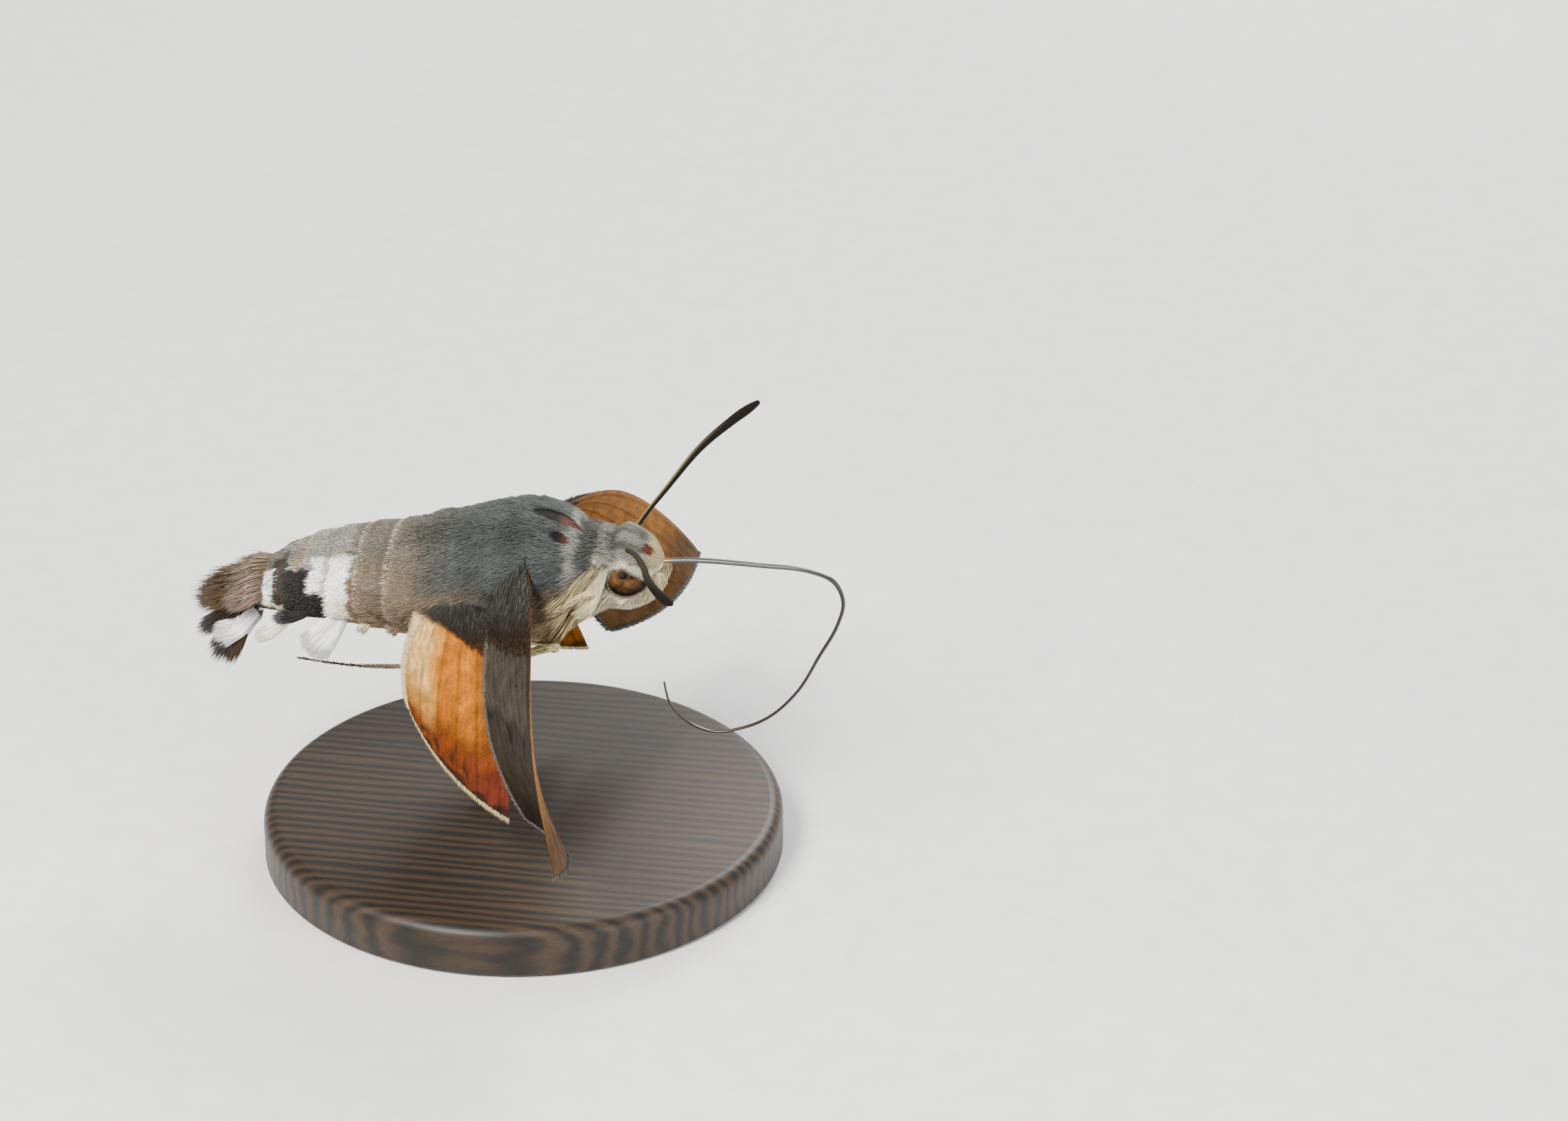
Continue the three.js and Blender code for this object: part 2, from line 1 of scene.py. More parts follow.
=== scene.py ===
"""Looks of a life-size hummingbird hawk moth, hovering on a small display stand.

Sizes are in millimetres and are turned into metres where a mesh is made. +X is the way the
head points, +Y is the moth's left and +Z is up, from the centre of the stand's underside.
"""

import logging
import math
from dataclasses import dataclass
from enum import Enum
from functools import cache
from typing import Any, Callable, ClassVar, Protocol, Sequence

import bmesh
import bpy
import numpy as np
from mathutils import Matrix, Vector


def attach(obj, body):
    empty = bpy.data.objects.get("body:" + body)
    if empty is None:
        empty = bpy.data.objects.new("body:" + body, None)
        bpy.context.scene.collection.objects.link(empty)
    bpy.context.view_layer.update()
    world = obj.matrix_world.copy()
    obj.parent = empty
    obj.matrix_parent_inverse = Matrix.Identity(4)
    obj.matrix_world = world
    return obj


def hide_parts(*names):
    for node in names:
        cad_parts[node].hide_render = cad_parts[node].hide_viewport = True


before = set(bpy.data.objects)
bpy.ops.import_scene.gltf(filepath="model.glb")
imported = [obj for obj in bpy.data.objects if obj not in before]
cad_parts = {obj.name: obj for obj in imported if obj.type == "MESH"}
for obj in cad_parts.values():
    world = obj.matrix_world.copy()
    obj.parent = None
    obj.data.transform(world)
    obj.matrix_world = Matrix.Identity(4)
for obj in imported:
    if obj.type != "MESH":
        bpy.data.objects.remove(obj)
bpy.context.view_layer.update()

Array = np.ndarray
Material = bpy.types.Material
Piece = bpy.types.Object
Socket = bpy.types.NodeSocket
Pair = tuple[float, float]
Point = tuple[float, float, float]

LOG = logging.getLogger("hawk_moth")
MM = 0.001
HOVER_HEIGHT = 18.0
THORAX_CENTRE = np.array([0.0, 0.0, HOVER_HEIGHT])
BODY = "root"
TINT = "tint"
FLOW = "flow"
BAKE_MAP = "OFBake"
BAKE_PATCH = 0.003
COAT_LIMIT = 200_000


class Side(Enum):
    """The two sides of the moth, as the sign of Y."""

    LEFT = 1
    RIGHT = -1

    @property
    def word(self) -> str:
        """The side's name in piece and node names."""
        return self.name.lower()


class Hue(Enum):
    """Colours of the moth and its stand, as hex digits."""

    BLUE_GREY = "484c4b"
    SLATE = "303332"
    ASH = "615e53"
    PALE_ASH = "908f86"
    TAN = "75644c"
    ROSE_TAN = "74644f"
    PINK_TAN = "957860"
    CREAM = "d0bf8e"
    IVORY = "efe7ca"
    WHITE = "fdfdfb"
    BLACK = "030302"
    SOOT = "130f0a"
    UMBER = "2b1f12"
    GOLD_BROWN = "5d4216"
    RUST = "4d1a10"
    BARE = "4c2c1f"
    EYE = "46301a"
    EYE_DARK = "050302"
    HORN = "120f09"
    HORN_PALE = "7d7355"
    AMBER = "a85f0c"
    STEEL_GREY = "3c413f"
    ORANGE = "764200"
    BURNT_ORANGE = "562003"
    APRICOT = "b9883c"
    BROWN = "34230f"
    GREY_BROWN = "251e16"
    UNDER_BROWN = "85561f"

    @property
    def light(self) -> Array:
        """The colour as linear red, green and blue."""
        values = np.array([int(self.value[i : i + 2], 16) for i in (0, 2, 4)]) / 255
        return np.where(values <= 0.04045, values / 12.92, ((values + 0.055) / 1.055) ** 2.4)


def ramp(value: Any, start: float, end: float) -> Array:
    """Rises smoothly from 0 at start to 1 at end."""
    share = np.clip((np.asarray(value, float) - start) / (end - start), 0.0, 1.0)
    return share * share * (3.0 - 2.0 * share)


def band(value: Any, low: float, high: float, soft: float) -> Array:
    """Is 1 between low and high and falls to 0 over the soft distance outside them."""
    return ramp(value, low - soft, low) * ramp(value, high + soft, high)


def light(paint: Any) -> Array:
    """The linear colour of a hue, or the linear colours that are given."""
    return paint.light if isinstance(paint, Hue) else paint


def mixed(first: Any, second: Any, share: Any) -> Array:
    """Colours between the first, at share 0, and the second, at share 1."""
    weight = np.asarray(share, float)[..., None]
    return light(first) * (1.0 - weight) + light(second) * weight


def painted(tint: Any, *coats: tuple[Any, Any]) -> Array:
    """Lays coats over a colour, one after the other.

    Args:
        tint: The colours below.
        *coats: Each coat's colour and how fully it covers.

    Returns:
        The colours on top.
    """
    for paint, share in coats:
        tint = mixed(tint, paint, share)
    return tint


def ripple(points: Array, size: float, seed: int) -> Array:
    """Smooth, repeatable noise from a few crossed waves.

    Args:
        points: Places, one row each.
        size: Rough distance from crest to crest.
        seed: Picks the waves.

    Returns:
        A value of about -1 to 1 for each place.
    """
    draw = np.random.default_rng(seed)
    count = 9
    waves = draw.normal(size=(count, points.shape[-1]))
    waves /= np.linalg.norm(waves, axis=1, keepdims=True)
    waves *= (2.0 * math.pi / size) * draw.uniform(0.6, 1.7, (count, 1))
    phases = draw.uniform(0.0, 2.0 * math.pi, count)
    return np.sin(points @ waves.T + phases).sum(-1) / math.sqrt(count)


def unit(vectors: Array) -> Array:
    """The vectors, each with length 1."""
    return vectors / np.maximum(np.linalg.norm(vectors, axis=-1, keepdims=True), 1e-12)


def cubic(start: Array, leave: Array, end: Array, arrive: Array, t: Array) -> Array:
    """Smooth values from start to end at shares t, with a slope to leave and one to arrive."""
    first = start * (2 * t**3 - 3 * t**2 + 1) + leave * (t**3 - 2 * t**2 + t)
    return first + end * (3 * t**2 - 2 * t**3) + arrive * (t**3 - t**2)


def between(stations: Array, place: Array) -> Array:
    """Smooth values between stations.

    Args:
        stations: One row for each station, its place first.
        place: Where the values are wanted.

    Returns:
        A row of values for each place, without the place itself.
    """
    place = np.asarray(place, float)
    last = len(stations) - 1
    i = np.clip(np.searchsorted(stations[:, 0], place) - 1, 0, last - 1)
    before, start, end, after = (stations[np.clip(i + k, 0, last)] for k in (-1, 0, 1, 2))
    span = end[..., :1] - start[..., :1]
    t = (place[..., None] - start[..., :1]) / span
    slope_in = span * (end - before) / (end[..., :1] - before[..., :1])
    slope_out = span * (after - start) / (after[..., :1] - start[..., :1])
    return cubic(start, slope_in, end, slope_out, t)[..., 1:]


def closing(share: Array, start: float, end: float) -> Array:
    """Rounds both ends of a form off.

    Args:
        share: Place along the form, from 0 to 1.
        start: Share of the length that the first round end takes.
        end: Share of the length that the last round end takes.

    Returns:
        The share of the full radius that is left at each place.
    """
    near = np.clip(1.0 - share / start, 0.0, 1.0)
    far = np.clip(1.0 - (1.0 - share) / end, 0.0, 1.0)
    return np.sqrt(np.clip(1.0 - near**2, 0.0, 1.0) * np.clip(1.0 - far**2, 0.0, 1.0))


def put_tint(piece: Piece, tint: Array) -> None:
    """Writes a colour for each vertex of a piece.

    Args:
        piece: The piece to colour.
        tint: Linear colours, one row for each vertex.
    """
    layer = piece.data.attributes.new(TINT, "FLOAT_COLOR", "POINT")
    rows = np.ones((len(tint), 4), np.float32)
    rows[:, :3] = np.clip(tint, 0.0, 1.0)
    layer.data.foreach_set("color", rows.ravel())


def put_flow(piece: Piece, flow: Array) -> None:
    """Writes each vertex's place in a pattern that follows the surface."""
    layer = piece.data.attributes.new(FLOW, "FLOAT_VECTOR", "POINT")
    layer.data.foreach_set("vector", flow.astype(np.float32).ravel())


def piece_from(form: bmesh.types.BMesh, name: str) -> Piece:
    """Turns a finished bmesh, whose vertices are in millimetres, into a smooth piece.

    Args:
        form: The mesh, which is freed.
        name: The piece's name.

    Returns:
        The new object, at the origin.
    """
    bmesh.ops.recalc_face_normals(form, faces=form.faces)
    bmesh.ops.scale(form, vec=(MM, MM, MM), verts=form.verts)
    mesh = bpy.data.meshes.new(name)
    form.to_mesh(mesh)
    form.free()
    mesh.shade_smooth()
    piece = bpy.data.objects.new(name, mesh)
    bpy.context.scene.collection.objects.link(piece)
    return piece


def shaped_ball(
    name: str,
    sides: int,
    rings: int,
    place: Callable[[Array, Array], Array],
) -> tuple[Piece, Array, Array]:
    """Makes a closed piece by drawing a ball out along its axis.

    Args:
        name: The piece's name.
        sides: Faces round it.
        rings: Faces along it.
        place: Gives the points for shares along the piece and angles round it.

    Returns:
        The piece, and the share and the angle of each of its vertices.
    """
    form = bmesh.new()
    bmesh.ops.create_uvsphere(form, u_segments=sides, v_segments=rings, radius=1.0)
    ball = np.array([vert.co[:] for vert in form.verts])
    share = 1.0 - np.arccos(np.clip(ball[:, 2], -1.0, 1.0)) / math.pi
    angle = np.arctan2(ball[:, 1], ball[:, 0])
    for vert, point in zip(form.verts, place(share, angle)):
        vert.co = point
    return piece_from(form, name), share, angle


class Route:
    """A smooth curve through points, with two directions across it all along."""

    SAMPLES_A_SPAN = 40

    def __init__(self, points: Sequence[Sequence[float]]) -> None:
        """Samples the curve.

        Args:
            points: What the curve goes through, in millimetres from the thorax centre.
        """
        given = np.array(points, float) + THORAX_CENTRE
        first = 2 * given[0] - given[1]
        last = 2 * given[-1] - given[-2]
        knots = np.vstack([first, given, last])
        spans = [self._span(*knots[i : i + 4]) for i in range(len(given) - 1)]
        self.line = np.vstack([*spans, given[-1:]])
        steps = np.linalg.norm(np.diff(self.line, axis=0), axis=1)
        self.lengths = np.concatenate([[0.0], np.cumsum(steps)])
        self.length = float(self.lengths[-1])
        self.tangents = unit(np.gradient(self.line, axis=0))
        self.across = self._carried(np.array([0.0, 1.0, 0.0]))

    def _span(self, *knots: Array) -> Array:
        """Samples one span of the curve.

        Args:
            knots: The points before, at the start, at the end and after.

        Returns:
            The samples, without the span's end.
        """
        gaps = [max(np.linalg.norm(b - a), 1e-6) ** 0.5 for a, b in zip(knots, knots[1:])]
        k0, k1, k2, k3 = knots
        d0, d1, d2 = gaps
        leave = ((k1 - k0) / d0 - (k2 - k0) / (d0 + d1) + (k2 - k1) / d1) * d1
        arrive = ((k2 - k1) / d1 - (k3 - k1) / (d1 + d2) + (k3 - k2) / d2) * d1
        t = np.linspace(0.0, 1.0, self.SAMPLES_A_SPAN, endpoint=False)[:, None]
        return cubic(k1, leave, k2, arrive, t)

    def _carried(self, start: Array) -> Array:
        """Carries a crosswise direction along the curve without twist.

        Args:
            start: Where the direction points at the first sample, roughly.

        Returns:
            One unit direction for each sample.
        """
        rows = []
        now = start
        for tangent in self.tangents:
            now = now - tangent * float(now @ tangent)
            now = now / max(float(np.linalg.norm(now)), 1e-9)
            rows.append(now)
        return np.array(rows)

    def at(self, along: Array) -> tuple[Array, Array, Array, Array]:
        """Looks the curve up.

        Args:
            along: Distances from its start, in millimetres.

        Returns:
            The points, the tangents and two directions across, one row for each distance.
        """
        reach = np.clip(along, 0.0, self.length)
        point, tangent, across = (
            np.stack([np.interp(reach, self.lengths, rows[:, k]) for k in range(3)], -1)
            for rows in (self.line, self.tangents, self.across)
        )
        tangent = unit(tangent)
        across = unit(across - tangent * (across * tangent).sum(-1, keepdims=True))
        return point, tangent, across, np.cross(tangent, across)


class Surface(Protocol):
    """Something that tufts can grow on."""

    def point(self, along: Array, angle: Array, lift: Any) -> Array:
        """Points above the surface."""

    def girth(self, along: Array) -> Array:
        """Mean radius at each place."""


@dataclass(frozen=True)
class Tube:
    """A limb round a route, with its half width and half depth at shares of its length."""

    route: Route
    half_width: Callable[[Array], Array]
    half_depth: Callable[[Array], Array]

    def point(self, along: Array, angle: Array, lift: Any) -> Array:
        """Finds points over the limb.

        Args:
            along: Distance from its root.
            angle: Angle round it.
            lift: Height above its surface.

        Returns:
            The points, in millimetres.
        """
        middle, _, across, up = self.route.at(along)
        share = along / self.route.length
        wide = self.half_width(share) + lift
        deep = self.half_depth(share) + lift
        return (
            middle
            + across * (wide * np.cos(angle))[..., None]
            + up * (deep * np.sin(angle))[..., None]
        )

    def girth(self, along: Array) -> Array:
        """Mean radius at each distance from the root."""
        share = along / self.route.length
        return (self.half_width(share) + self.half_depth(share)) / 2

    def piece(self, name: str, sides: int, rings: int) -> tuple[Piece, Array, Array]:
        """Makes the limb's mesh.

        Args:
            name: The piece's name.
            sides: Faces round it.
            rings: Faces along it.

        Returns:
            The piece, and the share and the angle of each of its vertices.
        """
        ends = [float(self.girth(np.array([x]))[0]) for x in (0.0, self.route.length)]
        round_ends = [max(radius / self.route.length, 1.2 / rings) for radius in ends]

        def place(share: Array, angle: Array) -> Array:
            along = share * self.route.length
            middle = self.route.at(along)[0]
            left = closing(share, *round_ends)[:, None]
            return middle + (self.point(along, angle, 0.0) - middle) * left

        return shaped_ball(name, sides, rings, place)


@dataclass(frozen=True)
class Trunk:
    """The moth's body from the tail stub to the face.

    A station has its place along the body, the rise of its axis, and the half width and half
    height of the coat. A groove has its place, depth and half length.
    """

    stations: tuple[tuple[float, ...], ...] = (
        (-16.6, -2.9, 0.55, 0.45), (-15.4, -2.5, 1.35, 1.05), (-13.9, -1.95, 2.3, 1.7),
        (-11.9, -1.45, 3.05, 2.25), (-9.9, -1.2, 3.45, 2.6), (-7.9, -1.08, 3.65, 2.95),
        (-5.9, -0.95, 3.75, 3.25), (-3.4, -0.5, 3.85, 3.6), (-1.2, -0.05, 3.95, 3.95),
        (0.6, 0.16, 4.0, 4.12), (2.2, 0.25, 3.8, 3.9), (3.4, 0.32, 3.35, 3.35),
        (4.3, 0.42, 2.8, 2.85), (5.2, 0.62, 2.35, 2.45), (6.2, 0.88, 2.35, 2.38),
        (7.1, 1.02, 2.1, 1.88), (7.8, 1.14, 1.6, 1.3), (8.25, 1.2, 0.95, 0.75),
    )
    tail: float = -16.7
    face: float = 8.5
    tail_round: float = 0.7
    face_round: float = 0.7
    segment_ends: tuple[float, ...] = (-4.9, -6.7, -8.5, -10.3, -12.0, -13.6, -15.0)
    segment_flare: float = 0.1
    grooves: tuple[Point, ...] = ((3.85, 0.16, 0.28), (5.75, 0.26, 0.3), (-3.6, 0.1, 0.5))

    def depth(self, along: Array) -> Array:
        """How deep the coat is over the skin.

        Args:
            along: Places along the body.

        Returns:
            The depth at each place, in millimetres.
        """
        thorax = 0.16 * band(along, -1.6, 3.2, 2.4)
        head = 0.06 * ramp(along, 6.4, 5.2)
        return 0.14 + thorax + head * ramp(along, 3.0, 4.5)

    def halves(self, along: Array) -> tuple[Array, Array, Array]:
        """Sizes of the skin's ring.

        Args:
            along: Places along the body.

        Returns:
            The rise of its axis, its half width and its half height.
        """
        rows = between(np.array(self.stations), along)
        flare = np.zeros_like(along)
        for end in self.segment_ends:
            flare += self.segment_flare * np.where(
                along >= end, ramp(along, end + 1.5, end), ramp(along, end - 0.12, end)
            )
        for place, deep, half in self.grooves:
            flare -= deep * np.exp(-(((along - place) / half) ** 2))
        shape = flare - self.depth(along)
        length = self.face - self.tail
        left = closing(
            (along - self.tail) / length,
            self.tail_round / length,
            self.face_round / length,
        )
        return rows[..., 0], (rows[..., 1] + shape) * left, (rows[..., 2] + shape) * left

    def point(self, along: Array, angle: Array, lift: Any) -> Array:
        """Finds points over the skin.

        Args:
            along: Places along the body.
            angle: Angle round it: 0 is the left side, a quarter turn the back.
            lift: Height above the skin.

        Returns:
            The points, in millimetres.
        """
        rise, half_width, half_height = self.halves(along)
        aside = (half_width + lift) * np.cos(angle)
        up = rise + (half_height + lift) * np.sin(angle)
        return np.stack([np.broadcast_to(along, aside.shape), aside, up], -1) + THORAX_CENTRE

    def girth(self, along: Array) -> Array:
        """Mean radius of the skin at each place."""
        _, half_width, half_height = self.halves(along)
        return np.maximum((half_width + half_height) / 2, 0.2)


def height_of(angle: Array) -> Array:
    """How high a place round a ring is, in degrees: 90 on the back and -90 on the belly."""
    return np.degrees(np.arcsin(np.clip(np.sin(angle), -1.0, 1.0)))


@dataclass(frozen=True)
class Mark:
    """A patch of one colour on the body.

    Attributes:
        hue: Its colour.
        along: Its rear and front end.
        height: Its lower and upper edge, in degrees above the flank.
        soft: How far its ends fade, in millimetres.
        soft_height: How far its edges fade, in degrees.
        strength: How fully it covers what is under it.
    """

    hue: Hue
    along: Pair
    height: Pair
    soft: float = 0.25
    soft_height: float = 8.0
    strength: float = 1.0

    def share(self, along: Array, height: Array) -> Array:
        """How strongly the mark shows at each place."""
        return (
            self.strength
            * band(along, *self.along, self.soft)
            * band(height, *self.height, self.soft_height)
        )


@dataclass(frozen=True)
class BareSpot:
    """A rubbed place on the back where the skin shows.

    Attributes:
        along: Its middle along the body.
        angle: Its middle round the body, in degrees.
        half_length: Half its length.
        half_angle: Half its width, in degrees.
        slant: How far its front end turns aside, in degrees a millimetre.
    """

    along: float
    angle: float
    half_length: float
    half_angle: float
    slant: float = 0.0

    def reach(self, along: Array, turn: Array) -> Array:
        """How far out places are, where 1 is the spot's edge.

        Args:
            along: Places along the body.
            turn: Angles round it, in degrees.

        Returns:
            One number for each place.
        """
        ahead = (along - self.along) / self.half_length
        around = turn - self.angle - self.slant * (along - self.along)
        return np.hypot(ahead, around / self.half_angle)


BARE_SPOTS = (BareSpot(2.65, 100.5, 1.35, 7.5, 1.7), BareSpot(2.95, 124.0, 0.6, 5.6, 1.0))


@dataclass(frozen=True)
class Markings:
    """The colours of skin and coat alike, by place along the body and height round it.

    Each mark is laid over those before it, and the ragged edges stray by so many millimetres.
    """

    marks: tuple[Mark, ...] = (
        Mark(Hue.TAN, (-8.8, -3.0), (-60, -4), 3.0, 26, 0.8),
        Mark(Hue.ROSE_TAN, (-8.6, -5.6), (-14, 34), 2.6, 26, 0.7),
        Mark(Hue.PINK_TAN, (-15.0, 3.5), (-90, -46), 1.2, 14, 0.85),
        Mark(Hue.CREAM, (0.2, 5.6), (-70, -18), 0.9, 16, 0.9),
        Mark(Hue.TAN, (1.6, 5.4), (-24, -2), 0.6, 14, 0.6),
        Mark(Hue.UMBER, (3.95, 4.25), (-8, 8), 0.14, 7, 0.8),
        Mark(Hue.PALE_ASH, (3.7, 4.0), (14, 90), 0.3, 20, 0.5),
        Mark(Hue.IVORY, (5.3, 5.55), (8, 34), 0.12, 10, 0.45),
        Mark(Hue.PALE_ASH, (5.35, 5.65), (34, 90), 0.15, 10, 0.4),
        Mark(Hue.SLATE, (4.45, 5.05), (25, 80), 0.3, 14, 0.6),
        Mark(Hue.PALE_ASH, (-12.4, -9.6), (34, 90), 1.2, 20, 0.8),
        Mark(Hue.PINK_TAN, (-12.15, -11.85), (30, 90), 0.1, 12, 0.7),
        Mark(Hue.WHITE, (-10.25, -8.75), (-32, 50), 0.16, 10, 1.0),
        Mark(Hue.WHITE, (-11.25, -10.3), (8, 48), 0.16, 9, 0.9),
        Mark(Hue.CREAM, (-9.6, -8.9), (-34, -8), 0.3, 10, 0.7),
        Mark(Hue.ASH, (-10.4, -10.2), (10, 64), 0.08, 8, 0.6),
        Mark(Hue.GOLD_BROWN, (-8.8, -8.5), (-30, 26), 0.12, 10, 0.85),
        Mark(Hue.BLACK, (-13.3, -10.45), (-60, 4), 0.15, 8, 1.0),
        Mark(Hue.BLACK, (-12.9, -11.3), (-60, 38), 0.18, 8, 1.0),
        Mark(Hue.UMBER, (-13.5, -12.75), (-10, 66), 0.16, 12, 0.85),
        Mark(Hue.WHITE, (-14.2, -13.6), (-24, 48), 0.12, 8, 1.0),
        Mark(Hue.IVORY, (-13.9, -13.0), (-36, -20), 0.15, 6, 0.95),
        # Painted shade: the underside round the tail's root, dark as soot.
        Mark(Hue.SOOT, (-16.8, -12.6), (-90, -40), 0.5, 10, 0.95),
        Mark(Hue.PINK_TAN, (-16.8, -14.4), (-20, 60), 0.3, 16, 0.7),
    )
    ragged: float = 0.12
    pale_edges: tuple[float, ...] = (-6.7, -8.5)
    spots: tuple[BareSpot, ...] = BARE_SPOTS

    def ground(self, along: Array, height: Array) -> Array:
        """The fur's colour before any mark, with painted shade on the thorax's flanks.

        Args:
            along: Places along the body.
            height: Heights round it, in degrees.

        Returns:
            Linear colours, one row each.
        """
        rear = ramp(along, -1.6, -6.4)
        front = ramp(along, 3.0, 5.5)
        # Painted shade: the thorax's flanks are slate, darker than its back.
        flank = ramp(height, 34.0, -6.0) * (1.0 - rear) * (1.0 - front)
        front_coat = (Hue.ASH.light * 0.9, 0.6 * front)
        return painted(Hue.BLUE_GREY, (Hue.ASH, rear), front_coat, (Hue.SLATE, 0.8 * flank))

    def colour(self, along: Array, angle: Array) -> Array:
        """The colour of skin or fur at places on the body.

        Args:
            along: Places along the body.
            angle: Angles round it.

        Returns:
            Linear colours, one row each.
        """
        spots = np.stack([along, 3.0 * np.cos(angle), 3.0 * np.sin(angle)], -1)
        place = along + self.ragged * ripple(spots, 0.9, 11)
        height = height_of(angle) + 30.0 * self.ragged * ripple(spots, 1.1, 12)
        coats = [(mark.hue, mark.share(place, height)) for mark in self.marks]
        tint = self.ring_edges(along, height, painted(self.ground(place, height), *coats))
        streaks = ripple(spots * (0.35, 1.0, 1.0), 0.55, 14)
        cloud = 1.0 + 0.16 * ripple(spots, 2.6, 13) + 0.1 * streaks
        tint = tint * np.clip(cloud, 0.6, 1.4)[..., None]
        return self.face(along, angle, tint)

    def ring_edges(self, along: Array, height: Array, tint: Array) -> Array:
        """Lays the pale rear edges of the belly's rings, painted shade just behind each edge where
        it overhangs the next ring, and dark flecks low on its sides.

        Args:
            along: Places along the body.
            height: Heights round it, in degrees.
            tint: Colours so far.

        Returns:
            The colours with the edges.
        """
        upper = ramp(height, -30.0, 10.0)
        for edge in self.pale_edges:
            line = band(along, edge - 0.02, edge + 0.14, 0.08)
            tint = mixed(tint, (Hue.IVORY.light + Hue.PINK_TAN.light) / 2, 0.5 * line * upper)
            # Painted shade: darker just behind the edge, under the ring's overhang.
            shade = band(along, edge - 0.4, edge - 0.12, 0.12)
            tint = mixed(tint, tint * 0.6, 0.5 * shade)
        flecks = ripple(np.stack([along * 1.6, height / 14.0], -1), 1.5, 15)
        low = band(height, -46.0, -14.0, 10.0) * band(along, -8.4, -1.5, 1.0)
        return mixed(tint, Hue.UMBER, 0.7 * low * ramp(flecks, 0.35, 0.9))

    @staticmethod
    def face(along: Array, angle: Array, tint: Array) -> Array:
        """Lays the head's marks over a colour.

        Args:
            along: Places along the body.
            angle: Angles round it.
            tint: Colours so far.

        Returns:
            The colours with the head's marks.
        """
        height = height_of(angle)
        head = ramp(along, 5.6, 6.0)
        brow = band(height, 30.0, 44.0, 6.0) * band(along, 5.9, 7.7, 0.3)
        crown = band(height, 62.0, 74.0, 7.0) * band(along, 6.2, 7.6, 0.4)
        muzzle = ramp(along, 7.5, 8.1)
        cheek = ramp(height, -6.0, -22.0) * ramp(along, 4.8, 5.6)
        behind = band(along, 5.2, 5.75, 0.15) * band(height, -14.0, 14.0, 8.0)
        around = EyeShape().nearness(along, height)
        spot = band(along, 7.6, 8.0, 0.1) * band(height, 50.0, 68.0, 7.0)
        return painted(
            tint,
            (Hue.SLATE, 0.6 * behind),
            (Hue.PALE_ASH, 0.7 * np.maximum(brow, 0.8 * crown)),
            (Hue.CREAM, 0.6 * muzzle),
            (Hue.IVORY, 0.9 * cheek),
            (Hue.IVORY, 0.8 * around * head),
            (Hue.RUST, 0.95 * spot * (np.cos(angle) < 0)),
        )

    def bare(self, along: Array, angle: Array, tint: Array) -> Array:
        """Lays the rubbed places over the skin's colour: painted shadow, near black, behind and at
        the rim, and the reddish bare skin in front.

        Args:
            along: Places along the body.
            angle: Angles round it.
            tint: The skin's colours so far.

        Returns:
            The colours with the rubbed places.
        """
        turn = np.degrees(np.mod(angle, 2.0 * math.pi))
        for spot in self.spots:
            reach = spot.reach(along, turn)
            # Painted shadow: near black at the rear and rim of each pit, shaded by the fur's edge;
            # reddish bare skin in front.
            share = ramp(along - spot.along, -0.25, 0.5) * ramp(reach, 1.1, 0.8)
            skin = mixed(Hue.BLACK.light * 2.0, Hue.BARE, share)
            tint = mixed(tint, skin, ramp(reach, 1.35, 1.0))
        return tint


@dataclass(frozen=True)
class EyeShape:
    """Where the eyes' centres sit, the half axes of the ball, and how far the fur leaves it open.

    The opening reaches behind, ahead to a corner, and up and down, and drops by the slant.
    """

    along: float = 6.6
    aside: float = 1.62
    rise: float = 0.68
    half_axes: Point = (1.22, 0.98, 0.98)
    behind: float = 0.86
    ahead: float = 1.3
    half_height: float = 0.78
    slant: float = 0.06

    def reach(self, ahead: Array, above: Array) -> Array:
        """How far out places are from the middle of an eye, where 1 is the opening's edge.

        Args:
            ahead: Distance ahead of the centre.
            above: Distance above it.

        Returns:
            One number for each place.
        """
        back = np.hypot(ahead / self.behind, above / self.half_height)
        level = np.abs(above + self.slant * ahead) / self.half_height
        front = np.clip(ahead / self.ahead, 0.0, None) ** 1.5 + level**1.25
        return np.where(ahead < 0.0, back, front)

    def inside(self, points: Array, edge: float = 1.0) -> Array:
        """Whether points lie in front of an eye's opening.

        Args:
            points: Places in millimetres.
            edge: How far out still counts.

        Returns:
            True for those in the opening.
        """
        away = points - THORAX_CENTRE
        out = self.reach(away[..., 0] - self.along, away[..., 2] - self.rise)
        return (out < edge) & (np.abs(away[..., 1]) > 1.2)

    def nearness(self, along: Array, height: Array) -> Array:
        """How near places on the head are to the rim of an eye, from 0 to 1."""
        above = (height + 4.0) / 24.0
        out = self.reach(along - self.along, above * self.half_height)
        return ramp(out, 1.7, 1.15)


@dataclass(frozen=True)
class TuftStyle:
    """Sizes of one kind of tuft.

    Attributes:
        length: From root to tip, in millimetres.
        width: Where it is widest.
        lift: How high its tip stands over the skin.
        sweep: How far its lie turns on the flank, from straight back to the belly, in degrees.
        scatter: How far single tufts stray from the lie, in degrees.
        blunt: Width left at the last ring, as a share.
    """

    length: float
    width: float
    lift: float
    sweep: float = 0.0
    scatter: float = 7.0
    blunt: float = 0.6


